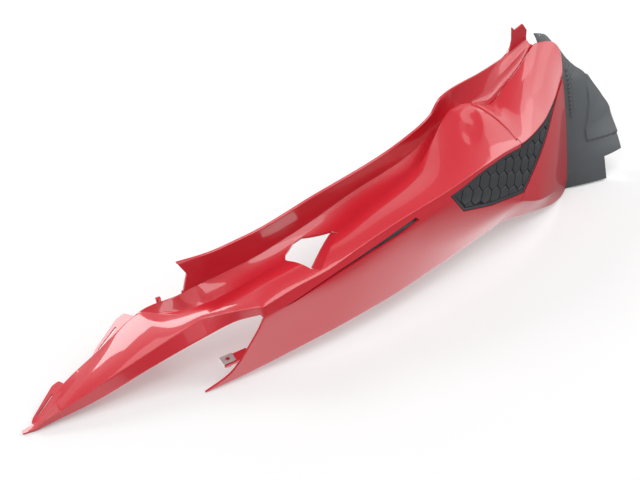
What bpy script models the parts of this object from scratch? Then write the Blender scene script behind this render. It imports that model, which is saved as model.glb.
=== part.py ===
"""Left tail fairing of a small motorcycle: side panel, two tail panels, honeycomb insert and inner cover.

Lengths are in millimetres and become metres where a mesh is made. X runs from the front tongue to the
tail, Y from the outer face towards the middle of the machine, and Z is up. The fairing lies as it rests on
a flat surface: on its tongue, on the toe of its skirt and on the foot of the inner cover.

The outer skin is one continuous surface, given by a few lines that run along the fairing. Each panel is
cut from that surface, so neighbours line up, and joins are the same named clearance everywhere.
"""

import math

import bmesh
import bpy
from mathutils import Vector

MM = 0.001

# Walls and clearances
WALL = 2.8
TRIM_WALL = 2.4
SEAT = 0.75
JOINT_GAP = 0.7
TRIM_DEPTH = WALL + SEAT

# Lines along the outer skin, each a list of (x, y, z) knots
RAIL_TOP = [
    (198, 31, 122), (235, 31, 119.5), (280, 31, 124), (386, 44, 138), (485, 62, 146), (560, 81, 156),
    (592, 90, 166), (612, 98, 181), (640, 105, 187), (693, 112, 194), (742, 118, 205), (784, 121, 222),
]
FOOT = [
    (22, 9, 8), (49, 26, 21), (94, 38, 37), (142, 51, 54), (152, 52, 58), (197, 30, 79), (235, 31, 83),
    (283, 30, 90), (338, 36, 98), (378, 43, 103), (443, 57, 112), (530, 72, 122), (560, 80, 127),
    (602, 92, 143), (640, 96, 155), (680, 96, 164), (722, 102, 186), (784, 113, 217),
]
SHOULDER = [
    (26, 0, 11), (85, 24, 35), (149, 47.5, 57.3), (154, 46.5, 58.2), (171, 32, 60), (210, 12, 69), (242, 4, 77), (278, 2, 86),
    (317, 2, 92), (378, 9, 98), (448, 22, 110), (534, 43, 124), (560, 56, 134), (584, 69, 148),
    (604, 80, 160), (622, 86, 168), (642, 87, 170), (660, 84, 168), (683, 80, 162), (721, 90, 178),
    (753, 99, 195), (785, 109, 217), (832, 117, 240),
]
CREST = [(22, -5.5, 11), (74, -9, 30), (145, -9, 52), (199, -10, 69), (235, -29, 80), (262, -45, 86)]
RIDGE = [
    (180, -46, 70), (262, -45, 86), (306, -43, 94), (346, -42, 99), (388, -40, 111), (445, -37, 125),
    (525, -30, 136), (596, -20, 146), (630, -13, 148), (676, -3, 146), (731, 18, 150), (775, 42, 164),
    (812, 67, 183), (834, 79, 196),
]
ARM_EDGE = [(22, -5.5, 3.6), (77, -12, 16), (140, -17, 36), (192, -24, 54), (232, -32, 68), (260, -45, 76)]
BELT = [
    (180, -49, 48), (280, -50, 76), (348, -48, 89), (401, -47, 104), (449, -45, 112), (526, -38, 118),
    (600, -28, 116), (676, -11, 110), (731, 3, 107), (775, 20, 106), (822, 46, 102), (834, 52, 101),
]
CREASE = [
    (180, -51, 24), (280, -54, 45), (380, -55, 58), (480, -48, 66), (580, -37, 70), (658, -25, 66),
    (715, -14, 44), (765, 1, 29), (819, 24, 19), (834, 30, 18),
]
BOTTOM = [
    (180, -50, 0), (223, -54, 5), (281, -58, 14), (342, -60, 22), (420, -56, 28), (509, -44, 33),
    (617, -25, 37), (640, -20, 37), (700, -12, 24), (760, -4, 12), (800, 10, 4), (834, 28, 1),
]

# Where the skin's parts begin and end along X
RAIL_START = 198
SHOULDER_START = 207
RIDGE_START = 262
RAIL_END = 784
SHOULDER_END = 785
RIDGE_END = 812
SKIRT_FRONT = [(0, 182), (14, 212), (29, 227), (47, 241), (66, 255), (76, 260), (87, 262)]
TAIL_END = [(0, 826), (50, 826), (99, 822), (156, 815), (183, 812), (200, 812)]

# How far each strip of the skin bulges from a flat one
TROUGH_DISH = -3.5
DECK_CROWN = 4.0
DECK_CROWN_REAR = 8.0
WALL_HOLLOW = -1.5
FLANGE_STEP = 2.6

# Finger scoop in the deck
SCOOP_CENTRE = (622, 44)
SCOOP_HALF_LENGTH = 38
SCOOP_HALF_WIDTH = 15
SCOOP_TURN = 50
SCOOP_DEPTH = 7.5

# Window through the channel: opening seen from above, and the sloped wall on its outer side
WINDOW = [(319, 7), (324, 16), (341, 27), (354, 29), (388, 17), (390, 4), (340, -38), (331, -30)]
WINDOW_WALL_TOP = [(392, 2), (339, -41)]
WINDOW_WALL_FOOT = [(392, 22), (339, -17)]
WINDOW_WALL_DROP = 10

# Tapered vent slit in the skirt, in side view
SLIT_TOP = [(284, 78), (348, 92.6), (401, 107.5), (440, 117), (470, 123)]
SLIT_BOTTOM = [(475, 119), (449, 112), (428, 108), (401, 103), (348, 90), (300, 79.8)]
SLIT_TRIM_MARGIN = 5
SLIT_TRIM_DROP = 4.2

# Insert's opening in side view, from its front tip along the bottom and back along the top
INSERT_BOTTOM = [
    (527, 129), (549, 101), (603, 87), (673, 77), (694, 91), (716, 108), (734, 123), (782, 161), (810, 174),
]
INSERT_TIP_DROP = 7
INSERT_TOP_DROP = 4.5
INSERT_TOP_X = [808, 775, 731, 676, 640, 600, 560, 534]
INSERT_RIM = 3.4
INSERT_FLANGE = 6
PAD_DEPTH = 1.3
PAD_WIDTH = 19.8
PAD_HEIGHT = 24.6
PAD_GROOVE = 2.2
PAD_TURN = 20.5
PAD_FIRST = (575, 111.5)

# Seams
DECK_SEAM_INNER_X = 657
DECK_SEAM_OUTER_X = 668
SEAM_LIP_WIDTH = 3.0
SEAM_LIP_HEIGHT = 0.9
SKIRT_SEAM = [(633, 20), (637, 38), (651, 53), (673, 77)]

# Screws from inside and the bosses they bite
SCREW_SHANK = 3.0
SCREW_BITE = 3.2
SCREW_HEAD = 11.0
SCREW_HEAD_HEIGHT = 2.2
SCREW_RUN = 3.4
BOSS_RADIUS = 3.4
SPOT_FACE = 0.7
EAR_SEAT = TRIM_DEPTH + TRIM_WALL - SPOT_FACE
BOSS_END = EAR_SEAT + 0.1
BORE_START = 1.4
EAR_RADIUS = 8.5
INSERT_EARS = [(517, 121), (578, 82), (712, 92), (770, 137)]
SKIRT_EARS = [(622, 53)]
TRIM_EARS = [(318, 71), (456, 101)]
COVER_EARS = [(817, 62), (813, 122)]
DECK_EARS = [(655, 28), (657, 6)]

# Inner cover: its outer edge, station by station, and its raised field and ribs in side view
COVER_HEIGHTS = [1.5, 20, 40, 60, 85, 110, 135, 158, 171]
COVER_RATIOS = [0.8, 0.65, 0.5, 0.34, 0.18, 0.07]
COVER_EDGE = [
    (948, 8, 1.5), (949, 19, 18), (950, 30, 37), (952, 48, 58), (952, 72, 86), (936, 83, 111), (914, 89, 135),
    (890, 91, 158), (864, 90, 174), (851, 93, 184), (841, 97, 193), (833, 101, 202), (825, 105, 211),
    (809, 113, 226), (796, 119, 228),
]
COVER_LAP = 20
COVER_DECK_LAP = 11
COVER_DECK_DEPTH = TRIM_DEPTH + 0.4
COVER_BULGE = 5
COVER_FOOT_REAR_X = 906
COVER_FLANGE_Z = 36
COVER_FOOT_DEPTH = 30
FIELD_RISE = 2.0
FIELD_LIP = 0.8
FIELD = [(889, 136), (887, 116), (880, 98), (872, 82), (873, 66), (970, 54), (970, 160), (900, 160)]
RIB_COUNT = 11
RIB_FIRST = (830, 168)
RIB_PITCH = (1.0, -6.2)
RIB_SIZE = (14, 2.2)
RIB_LEAN = 40
TAB_HOLE_RADIUS = 1.8
TAB_HOLE_SHIFT = (6, -5, 0)
TAB_HOLE_WAY = (-0.3, -0.2, 0.93)

# Lugs and the spring nuts pushed over them: x of the nut's closed end, y, and the way it opens along X
LUG_THICK = 2.5
LUG_Z = 27
LUG = [(209, -52), (209, -38.5), (240, -38.5), (240, -50), (230, -52)]
FRONT_NUT = (207.5, -44.2, 1)
REAR_LUG_Z = 36.6
REAR_LUG = [(912, 29.5), (943.3, 31.3), (943.3, 51), (912, 51)]
REAR_NUT = (945.5, 43.5, -1)
NUT_LENGTH = 15
NUT_WIDTH = 12
NUT_SHEET = 1.0
NUT_BARREL = 4.2
NUT_BORE = 2.6

# Slotted tabs on the arm's flange, seen from above
TABS = [
    [(8, 5), (12, 13), (40, 35), (48, 35), (54, 22), (24, 2)],
    [(86, 34), (96, 44), (128, 65), (138, 65), (147, 49), (110, 34)],
]
SLOTS = [
    [(17, 9.5), (16, 12), (37, 25), (38, 22.5)],
    [(98, 38), (97, 41), (123, 55), (124, 52)],
]
TAB_THICK = 2.4
TONGUE_RINGS = [(-2, -1.5, 2.5, 2.4), (10, -3.5, 4.5, 3.2)]
NOSE_STATIONS = [15, 24, 36, 46]
NOSE_INSET = 0.35
ARM_START = 38
NOSE_WALL = 0.5
RAIL_PRONG = [
    (722, 194), (739, 202), (748, 207), (754, 215), (756, 225), (754, 242.5), (759.5, 237.5), (774.5, 243.5),
    (783, 234), (784, 212), (770, 204), (745, 190),
]
RAIL_PRONG_LEAN = 0.12
RAIL_NOTCH = [(190, 112), (208, 101), (199, 96), (190, 98)]
HOOK = (172, 45, 6, 5, 6)


def smooth(knots, x, k):
    """Value of column k at x on a curve through the knots that never overshoots them."""
    if x <= knots[0][0]:
        i = 0
    elif x >= knots[-1][0]:
        i = len(knots) - 2
    else:
        i = max(j for j in range(len(knots) - 1) if knots[j][0] <= x)
    slopes = [
        (knots[j + 1][k] - knots[j][k]) / (knots[j + 1][0] - knots[j][0]) for j in range(len(knots) - 1)
    ]

    def tangent(j):
        if j == 0:
            return slopes[0]
        if j == len(knots) - 1:
            return slopes[-1]
        a, b = slopes[j - 1], slopes[j]
        return 0.0 if a * b <= 0 else 2 * a * b / (a + b)

    x0, x1 = knots[i][0], knots[i + 1][0]
    t = (x - x0) / (x1 - x0)
    if t < 0:
        return knots[i][k] + tangent(i) * (x - x0)
    if t > 1:
        return knots[i + 1][k] + tangent(i + 1) * (x - x1)
    span = x1 - x0
    y0, y1 = knots[i][k], knots[i + 1][k]
    return (
        (2 * t**3 - 3 * t**2 + 1) * y0
        + (t**3 - 2 * t**2 + t) * span * tangent(i)
        + (-2 * t**3 + 3 * t**2) * y1
        + (t**3 - t**2) * span * tangent(i + 1)
    )


def on_line(line, x):
    """Point of a skin line at x."""
    return Vector((x, smooth(line, x, 1), smooth(line, x, 2)))


def fade(x, start, end):
    """Goes smoothly from 0 at start to 1 at end."""
    t = min(1.0, max(0.0, (x - start) / (end - start)))
    return t * t * (3 - 2 * t)


def wall_point(x, f):
    """Rail wall, from its top at f 0 to its foot at f 1."""
    top, foot = on_line(RAIL_TOP, x), on_line(FOOT, x)
    point = top.lerp(foot, f)
    point.y -= WALL_HOLLOW * 4 * f * (1 - f)
    return point


def trough_point(x, f):
    """Trough floor, from the rail's foot at f 0 to the shoulder at f 1; a stepped flange on the arm."""
    point = on_line(FOOT, x).lerp(on_line(SHOULDER, x), f)
    on_arm = 1 - fade(x, 150, 200)
    width = (on_line(FOOT, x) - on_line(SHOULDER, x)).length
    dish = TROUGH_DISH * 4 * f * (1 - f) * (1 - on_arm) * min(1, width / 25)
    step = FLANGE_STEP * on_arm * (1 - fade(f, 0.88, 1.0)) * fade(x, 20, 45)
    point.z += dish - step
    return point


def deck_point(x, f):
    """Deck and arm's upper face, from the shoulder at f 0 to the ridge or the arm's crest at f 1."""
    outer = on_line(CREST if x < RIDGE_START else RIDGE, x)
    point = on_line(SHOULDER, x).lerp(outer, f)
    crown = DECK_CROWN + (DECK_CROWN_REAR - DECK_CROWN) * fade(x, 560, 660)
    crown *= fade(x, 20, 90)
    point.z += crown * 4 * f * (1 - f)
    return point


def scooped(point):
    """Sinks a deck point into the finger scoop where it lies over it."""
    turn = math.radians(SCOOP_TURN)
    dx, dy = point.x - SCOOP_CENTRE[0], point.y - SCOOP_CENTRE[1]
    along = (dx * math.cos(turn) + dy * math.sin(turn)) / SCOOP_HALF_LENGTH
    across = (dy * math.cos(turn) - dx * math.sin(turn)) / SCOOP_HALF_WIDTH
    reach = math.hypot(along, across)
    point.z -= SCOOP_DEPTH * (1 - fade(reach, 0.55, 1.1))
    return point


def side_y(x, z):
    """Distance of the outer side face at x and height z."""
    section = sorted((on_line(line, x).zyx for line in (RIDGE, BELT, CREASE, BOTTOM)), key=lambda p: p[0])
    return smooth([(p[0], p[1]) for p in section], z, 1)


def side_point(x, z):
    """Point of the outer side face."""
    return Vector((x, side_y(x, z), z))


def side_normal(x, z):
    """Outward direction of the side face."""
    along = side_point(x + 1, z) - side_point(x - 1, z)
    up = side_point(x, z + 1) - side_point(x, z - 1)
    return along.cross(up).normalized()


def deck_normal(x, f):
    """Outward direction of the deck."""
    along = deck_point(x + 1, f) - deck_point(x - 1, f)
    out = deck_point(x, f + 0.02) - deck_point(x, f - 0.02)
    return out.cross(along).normalized()


def deck_at(x, y):
    """Share f of the deck's width at which it passes over y."""
    inner, outer = on_line(SHOULDER, x).y, on_line(CREST if x < RIDGE_START else RIDGE, x).y
    return (inner - y) / (inner - outer)


def skirt_height(x, level):
    """Height at x of a level of the side face: 0 the ridge, 1 the belt, 2 the crease and 3 the bottom."""
    lines = (RIDGE, BELT, CREASE, BOTTOM)
    upper = min(int(level), 2)
    high, low = on_line(lines[upper], x).z, on_line(lines[upper + 1], x).z
    return high + (level - upper) * (low - high)


def edge_x(edge, level, guess):
    """Where a level of the side face meets an edge that is given as x over height."""
    x = guess
    for _ in range(8):
        x = smooth(edge, skirt_height(x, level), 1)
    return x


def between(a, b, n):
    """n + 1 even steps from a to b."""
    return [a + (b - a) * i / n for i in range(n + 1)]


def sheet(rows, skip=None):
    """Open sheet through rows of points, with faces that look out; skip(i, j) leaves a cell open."""
    bm = bmesh.new()
    verts = {}

    def vert(i, j):
        if (i, j) not in verts:
            verts[i, j] = bm.verts.new(rows[i][j] * MM)
        return verts[i, j]

    for i in range(len(rows) - 1):
        for j in range(len(rows[i]) - 1):
            if skip is None or not skip(i, j):
                bm.faces.new((vert(i, j), vert(i, j + 1), vert(i + 1, j + 1), vert(i + 1, j)))
    return bm


def arm_wall(x):
    """Share of the full wall at x: the arm's wall thins into its solid nose."""
    return NOSE_WALL + (1 - NOSE_WALL) * fade(x, ARM_START, 75)


def thicken(bm, depth, lift=0.0, share=None):
    """Turns an open sheet into a closed wall that reaches depth below it and lift above it."""
    bm.normal_update()
    outer = list(bm.verts)
    faces = list(bm.faces)
    rims = [(e.verts[:], e.link_loops[0].vert) for e in bm.edges if len(e.link_faces) == 1]
    inner = {}
    for v in outer:
        factor = min(v.calc_shell_factor(), 1.35)
        part = 1.0 if share is None else share(v.co.x / MM)
        inner[v] = bm.verts.new(v.co - v.normal * depth * part * MM * factor)
    raised = {v: v.co + v.normal * lift * MM * min(v.calc_shell_factor(), 1.35) for v in outer}
    for face in faces:
        bm.faces.new([inner[v] for v in reversed(face.verts)])
    for pair, first in rims:
        second = pair[1] if pair[0] is first else pair[0]
        bm.faces.new((second, first, inner[first], inner[second]))
    for v in outer:
        v.co = raised[v]
    return bm


def prism(outline, axis, low, high):
    """Closed prism over an outline; axis Y takes (x, z) outlines and axis Z takes (x, y) ones."""
    bm = bmesh.new()

    def place(p, depth):
        return Vector((p[0], depth, p[1]) if axis == "Y" else (p[0], p[1], depth)) * MM

    near = [bm.verts.new(place(p, low)) for p in outline]
    far = [bm.verts.new(place(p, high)) for p in outline]
    bm.faces.new(near)
    bm.faces.new(list(reversed(far)))
    for i, v in enumerate(near):
        k = (i + 1) % len(near)
        bm.faces.new((near[k], v, far[i], far[k]))
    bmesh.ops.recalc_face_normals(bm, faces=bm.faces)
    return bm


def cylinder(centre, direction, radius, start, end, sides=16):
    """Closed round bar along a direction, from start to end measured from the centre."""
    bm = bmesh.new()
    bmesh.ops.create_cone(
        bm, cap_ends=True, segments=sides, radius1=radius * MM, radius2=radius * MM, depth=(end - start) * MM
    )
    turn = Vector((0, 0, 1)).rotation_difference(direction).to_matrix().to_4x4()
    bmesh.ops.transform(bm, matrix=turn, verts=bm.verts)
    middle = (Vector(centre) + direction * (start + end) / 2) * MM
    bmesh.ops.translate(bm, vec=middle, verts=bm.verts)
    return bm


def as_object(name, bm):
    """Object made from a mesh in the making."""
    mesh = bpy.data.meshes.new(name)
    bm.to_mesh(mesh)
    bm.free()
    obj = bpy.data.objects.new(name, mesh)
    bpy.context.scene.collection.objects.link(obj)
    return obj


def joined(parts):
    """Several meshes in the making as one, for a cutter with many separate bodies."""
    whole = bmesh.new()
    for part in parts:
        mesh = bpy.data.meshes.new("part")
        part.to_mesh(mesh)
        part.free()
        whole.from_mesh(mesh)
        bpy.data.meshes.remove(mesh)
    return whole


def boolean(obj, operation, bm):
    """Applies a union, difference or intersection."""
    tool = as_object("tool", bm)
    modifier = obj.modifiers.new("cut", "BOOLEAN")
    modifier.operation = operation
    modifier.solver = "EXACT"
    modifier.object = tool
    graph = bpy.context.evaluated_depsgraph_get()
    graph.update()
    result = bpy.data.meshes.new_from_object(obj.evaluated_get(graph))
    old = obj.data
    obj.modifiers.clear()
    obj.data = result
    bpy.data.meshes.remove(old)
    bpy.data.objects.remove(tool)
    return obj


def cut(obj, bm):
    """Takes a mesh in the making away from an object."""
    return boolean(obj, "DIFFERENCE", bm)


def add(obj, bm):
    """Joins a mesh in the making to an object."""
    return boolean(obj, "UNION", bm)


def keep(obj, bm):
    """Keeps only what lies inside a mesh in the making."""
    return boolean(obj, "INTERSECT", bm)


def offset_outline(outline, distance):
    """Closed outline moved out by a distance, or in where it is negative; corners stay sharp."""
    area = sum(
        a[0] * b[1] - b[0] * a[1] for a, b in zip(outline, outline[1:] + outline[:1])
    )
    sign = 1 if area > 0 else -1
    moved = []
    for i, p in enumerate(outline):
        before = Vector(p) - Vector(outline[i - 1])
        after = Vector(outline[(i + 1) % len(outline)]) - Vector(p)
        n1 = Vector((before.y, -before.x)).normalized() * sign
        n2 = Vector((after.y, -after.x)).normalized() * sign
        middle = (n1 + n2).normalized()
        stretch = min(1 / max(middle.dot(n1), 0.3), 2.0)
        moved.append(tuple(Vector(p) + middle * distance * stretch))
    return moved


def round_outline(centre, radius, sides=16):
    """Circle as an outline."""
    turns = [2 * math.pi * i / sides for i in range(sides)]
    return [(centre[0] + radius * math.cos(t), centre[1] + radius * math.sin(t)) for t in turns]


def insert_outline():
    """Outline of the insert's opening, closed."""
    top = []
    for x in INSERT_TOP_X:
        drop = INSERT_TOP_DROP if x > 560 else INSERT_TIP_DROP
        top.append((x, on_line(RIDGE, x).z - drop))
    return INSERT_BOTTOM + top


def side_patch(xs, zs, depth, reach):
    """Wall that follows the side face below it, from depth to reach."""
    rows = []
    for x in xs:
        rows.append([side_point(x, z) - side_normal(x, z) * depth for z in reversed(zs)])
    return thicken(sheet(rows), reach - depth)


def deck_patch(xs, fs, depth, reach):
    """Wall that follows the deck below it, from depth to reach."""
    rows = [[deck_point(x, f) - deck_normal(x, f) * depth for f in fs] for x in xs]
    return thicken(sheet(rows), reach - depth)


def material(name, colour, roughness, metallic=0.0):
    """Plain finish."""
    mat = bpy.data.materials.new(name)
    mat.use_nodes = True
    shader = mat.node_tree.nodes["Principled BSDF"]
    shader.inputs["Base Color"].default_value = (*colour, 1.0)
    shader.inputs["Roughness"].default_value = roughness
    shader.inputs["Metallic"].default_value = metallic
    return mat


def finish(obj, name, mat):
    """Names a finished piece, tidies its mesh and gives it its material."""
    obj.name = name
    obj.data.name = name
    bm = bmesh.new()
    bm.from_mesh(obj.data)
    bmesh.ops.remove_doubles(bm, verts=bm.verts, dist=0.00002)
    bmesh.ops.dissolve_degenerate(bm, edges=bm.edges, dist=0.00002)
    bmesh.ops.delete(bm, geom=[e for e in bm.edges if not e.link_faces], context="EDGES")
    bm.to_mesh(obj.data)
    bm.free()
    obj.data.materials.clear()
    obj.data.materials.append(mat)
    obj.data.shade_smooth()
    obj.data.set_sharp_from_angle(angle=math.radians(32))
    return obj


# Columns of the side panel's grid
WALL_STEPS = [0, 0.35, 0.7, 1.0]
TROUGH_STEPS = [0.33, 0.66, 0.9]
DECK_STEPS = [0, 0.17, 0.34, 0.5, 0.66, 0.83]
SKIRT_STEPS = [0, 0.25, 0.6, 1.0, 1.5, 2.0, 2.5, 3.0]
FOOT_COLUMN = len(WALL_STEPS) - 1
SHOULDER_COLUMN = FOOT_COLUMN + len(TROUGH_STEPS) + 1
RIDGE_COLUMN = SHOULDER_COLUMN + len(DECK_STEPS)
EDGE_COLUMN = RIDGE_COLUMN + 2
ARM_STATIONS = 11


def body_row(s):
    """Section of the side panel from rail to skirt; s runs from 0 at the front to 1 at the tail."""
    rail_x = RAIL_START + s * (RAIL_END - RAIL_START)
    shoulder_x = SHOULDER_START + s * (SHOULDER_END - SHOULDER_START)
    ridge_x = RIDGE_START + s * (RIDGE_END - RIDGE_START)
    row = [wall_point(rail_x, f) for f in WALL_STEPS]
    row += [trough_point(rail_x + f * (shoulder_x - rail_x), f) for f in TROUGH_STEPS]
    row += [scooped(deck_point(shoulder_x + f * (ridge_x - shoulder_x), f)) for f in DECK_STEPS]
    for level in SKIRT_STEPS:
        start, end = edge_x(SKIRT_FRONT, level, RIDGE_START), edge_x(TAIL_END, level, RIDGE_END)
        x = start + s * (end - start)
        row.append(side_point(x, skirt_height(x, level)))
    return row


def arm_row(a, root):
    """Section of the arm from its flange to its lower edge; a runs from 0 at the tip to 1 at the root."""

    def along(column):
        return ARM_START + a * (root[column].x - ARM_START)

    foot_x, shoulder_x = along(FOOT_COLUMN), along(SHOULDER_COLUMN)
    crest_x, edge_x = along(RIDGE_COLUMN), along(EDGE_COLUMN)
    row = [trough_point(foot_x, 0)] * (FOOT_COLUMN + 1)
    row += [trough_point(foot_x + f * (shoulder_x - foot_x), f) for f in TROUGH_STEPS]
    row += [deck_point(shoulder_x + f * (crest_x - shoulder_x), f) for f in DECK_STEPS]
    crest, edge = on_line(CREST, crest_x), on_line(ARM_EDGE, edge_x)
    row += [crest, crest.lerp(edge, 0.5), edge]
    row += [edge] * (len(SKIRT_STEPS) - 3)
    return row


def body_stations():
    """Stations along the body, closer where the rail bends and the scoop lies."""
    coarse = between(0, 0.6, 16)
    fine = between(0.6, 0.82, 12)
    return coarse + fine[1:] + between(0.82, 1.0, 6)[1:]


def make_side_panel(mat):
    """Front arm, rail, channel, ridge and skirt as one moulding."""
    stations = body_stations()
    body = [body_row(s) for s in stations]
    arm = [arm_row(a, body[0]) for a in between(0, 1, ARM_STATIONS)[:-1]]
    rows = arm + body
    first_body = len(arm)

    def skip(i, j):
        if i < first_body:
            return j < FOOT_COLUMN or j >= EDGE_COLUMN
        s = stations[i - first_body]
        return j >= SHOULDER_COLUMN and s > 0.82

    obj = as_object("side_panel", thicken(sheet(rows, skip), WALL, share=arm_wall))
    cut(obj, window_cutter())
    add(obj, window_wall())
    cut(obj, prism(SLIT_TOP + SLIT_BOTTOM, "Y", -80, -20))
    cut(obj, prism(rear_cut_outline(), "Y", -90, 25))
    cut(obj, deck_cutter())
    for outline in TABS:
        add(obj, flange_plate(outline, TAB_THICK))
    add(obj, nose())
    cut(obj, joined([prism(slot, "Z", -20, 80) for slot in SLOTS]))
    add(obj, rail_prong())
    cut(obj, prism(RAIL_NOTCH, "Y", 15, 60))
    add(obj, prism(LUG, "Z", LUG_Z, LUG_Z + LUG_THICK))
    add(obj, hook())
    add(obj, seam_lip())
    for ear in INSERT_EARS[:2] + SKIRT_EARS + TRIM_EARS:
        add(obj, side_boss(ear))
        cut(obj, side_bore(ear))
    for ear in DECK_EARS:
        add(obj, deck_boss(ear))
        cut(obj, deck_bore(ear))
    cut(obj, nut_hole(FRONT_NUT, LUG_Z))
    return finish(obj, "side_panel", mat)


def window_cutter():
    """Opening through the channel, seen from above."""
    return prism(WINDOW, "Z", 60, 130)


def window_wall():
    """Wall that slopes from the deck down into the window on its outer side."""
    bm = bmesh.new()
    corners = []
    for top, foot in zip(WINDOW_WALL_TOP, WINDOW_WALL_FOOT):
        height = deck_point(top[0], deck_at(top[0], top[1])).z
        a = Vector((top[0], top[1], height - 0.4))
        b = Vector((foot[0], foot[1], height - WINDOW_WALL_DROP))
        corners.append((a, b))
    (a, b), (c, d) = corners
    down = (b - a).cross(c - a).normalized()
    if down.z > 0:
        down = -down
    upper = [bm.verts.new(p * MM) for p in (a, b, d, c)]
    lower = [bm.verts.new((p + down * WALL) * MM) for p in (a, b, d, c)]
    bm.faces.new(upper)
    bm.faces.new(list(reversed(lower)))
    for i in range(4):
        k = (i + 1) % 4
        bm.faces.new((upper[k], upper[i], lower[i], lower[k]))
    bmesh.ops.recalc_face_normals(bm, faces=bm.faces)
    return bm


def rear_cut_outline():
    """Side-view outline of everything behind the skirt's seam: the insert's opening and the tail."""
    seam_x = DECK_SEAM_OUTER_X + 1.5
    top = [p for p in insert_outline()[len(INSERT_BOTTOM):] if p[0] < seam_x]
    seam_top = (seam_x, on_line(RIDGE, seam_x).z - INSERT_TOP_DROP)
    tail = [(seam_x, 220), (850, 220), (850, -30), (SKIRT_SEAM[0][0], -30)]
    front = [p for p in INSERT_BOTTOM if p[0] < SKIRT_SEAM[-1][0]]
    return tail + SKIRT_SEAM + front[::-1] + top[::-1] + [seam_top]


def deck_cutter():
    """Block that ends the deck at its seam and leaves the groove beside the rail."""
    inner = [(x, on_line(SHOULDER, x).y - 0.2) for x in between(DECK_SEAM_INNER_X, 800, 8)]
    outline = inner + [(800, -60), (DECK_SEAM_OUTER_X, -60), (DECK_SEAM_OUTER_X, -5)]
    return prism(outline, "Z", 120, 230)


def seam_lip():
    """Raised lip along the deck's rear edge."""
    rows = []
    for back in (SEAM_LIP_WIDTH, SEAM_LIP_WIDTH * 0.6, 0.3):
        row = []
        for f in between(0.06, 0.9, 10):
            x = DECK_SEAM_INNER_X + f * (DECK_SEAM_OUTER_X - DECK_SEAM_INNER_X) - back
            lift = SEAM_LIP_HEIGHT * (0.5 if back == SEAM_LIP_WIDTH else 1.0)
            row.append(deck_point(x, f) + deck_normal(x, f) * lift)
        rows.append(row)
    return thicken(sheet(rows), SEAM_LIP_HEIGHT + WALL * 0.5)


def seam_front():
    """Block in front of the deck's seam, a joint's gap behind the side panel's edge."""
    inner = (DECK_SEAM_INNER_X + JOINT_GAP, on_line(SHOULDER, DECK_SEAM_INNER_X).y - 0.2)
    outer = (DECK_SEAM_OUTER_X + JOINT_GAP, -5)
    outline = [inner, outer, (outer[0], -60), (600, -60), (600, 130), (inner[0], 130)]
    return prism(outline, "Z", 100, 230)


def flange_plate(outline, thickness):
    """Plate that carries on the arm's flange past its edge."""
    bm = prism(outline, "Z", 0, thickness)
    for v in bm.verts:
        x = v.co.x / MM
        level = max(on_line(FOOT, x).z - FLANGE_STEP * fade(x, 20, 45) - 0.3, thickness + 0.6)
        v.co.z += (level - thickness) * MM
    return bm


def nose_ring(x):
    """Section of the solid nose at x, just inside the arm's skin where the two overlap."""
    foot = trough_point(x, 0)
    shoulder, crest, edge = (on_line(line, x) for line in (SHOULDER, CREST, ARM_EDGE))
    under = Vector((x, foot.y - 1, max(foot.z - WALL, 0.3)))
    ring = [under, foot, trough_point(x, 0.85), shoulder, crest, edge]
    middle = sum(ring, Vector()) / len(ring)
    inset = NOSE_INSET if x > ARM_START - 6 else 0.0
    return [p + (middle - p).normalized() * inset for p in ring]


def nose():
    """Solid nose with a locating tongue at the arm's tip."""
    bm = bmesh.new()
    rings = []
    for x, near, far, thick in TONGUE_RINGS:
        rings.append([Vector((x, y, z)) for y, z in (
            (far, 0), (far, thick), (far * 0.5, thick), (0, thick), (near, thick), (near, 0))])
    rings += [nose_ring(x) for x in NOSE_STATIONS]
    loops = [[bm.verts.new(p * MM) for p in ring] for ring in rings]
    bm.faces.new(list(reversed(loops[0])))
    bm.faces.new(loops[-1])
    for a, b in zip(loops, loops[1:]):
        for k in range(6):
            m = (k + 1) % 6
            bm.faces.new((a[k], a[m], b[m], b[k]))
    bmesh.ops.recalc_face_normals(bm, faces=bm.faces)
    return bm


def rail_prong():
    """Upright prong with a notch that ends the rail."""
    bm = prism(RAIL_PRONG, "Y", 0, WALL)
    for v in bm.verts:
        x, z = v.co.x / MM, v.co.z / MM
        top = on_line(RAIL_TOP, x)
        v.co.y += (top.y + RAIL_PRONG_LEAN * (z - top.z)) * MM
    return bm


def hook():
    """Small locating hook on the channel's front edge."""
    x, y, length, width, height = HOOK
    z = trough_point(x, 0.2).z
    box = [(x, y), (x + length, y), (x + length, y + width), (x, y + width)]
    return prism(box, "Z", z - WALL - 1.0, z + height - WALL)


def side_axis(spot):
    """Seat of a fastener on the side face: the point on the skin and the way in."""
    return side_point(*spot), -side_normal(*spot)


def side_boss(spot):
    """Boss inside the side face."""
    point, inward = side_axis(spot)
    return cylinder(point, inward, BOSS_RADIUS, WALL - 0.8, BOSS_END)


def side_bore(spot):
    """Blind bore in a boss."""
    point, inward = side_axis(spot)
    return cylinder(point, inward, SCREW_BITE / 2, BORE_START, BOSS_END + 3)


def deck_axis(spot):
    """Seat of a fastener under the deck: the point on the skin and the way in."""
    f = deck_at(*spot)
    return scooped(deck_point(spot[0], f)), -deck_normal(spot[0], f)


def deck_boss(spot):
    """Boss under the deck."""
    point, inward = deck_axis(spot)
    return cylinder(point, inward, BOSS_RADIUS, WALL - 0.8, BOSS_END)


def deck_bore(spot):
    """Blind bore in a deck boss."""
    point, inward = deck_axis(spot)
    return cylinder(point, inward, SCREW_BITE / 2, BORE_START, BOSS_END + 3)


def seat_ears(obj, axes):
    """Cuts, in all ears of a piece, the hole for the boss and the spot face under the screw's head."""
    for point, inward in axes:
        cut(obj, cylinder(point, inward, BOSS_RADIUS + SEAT, WALL - 0.2, WALL + 14))
        cut(obj, cylinder(point, inward, SCREW_HEAD / 2 + SEAT, EAR_SEAT, WALL + 15))


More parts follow.
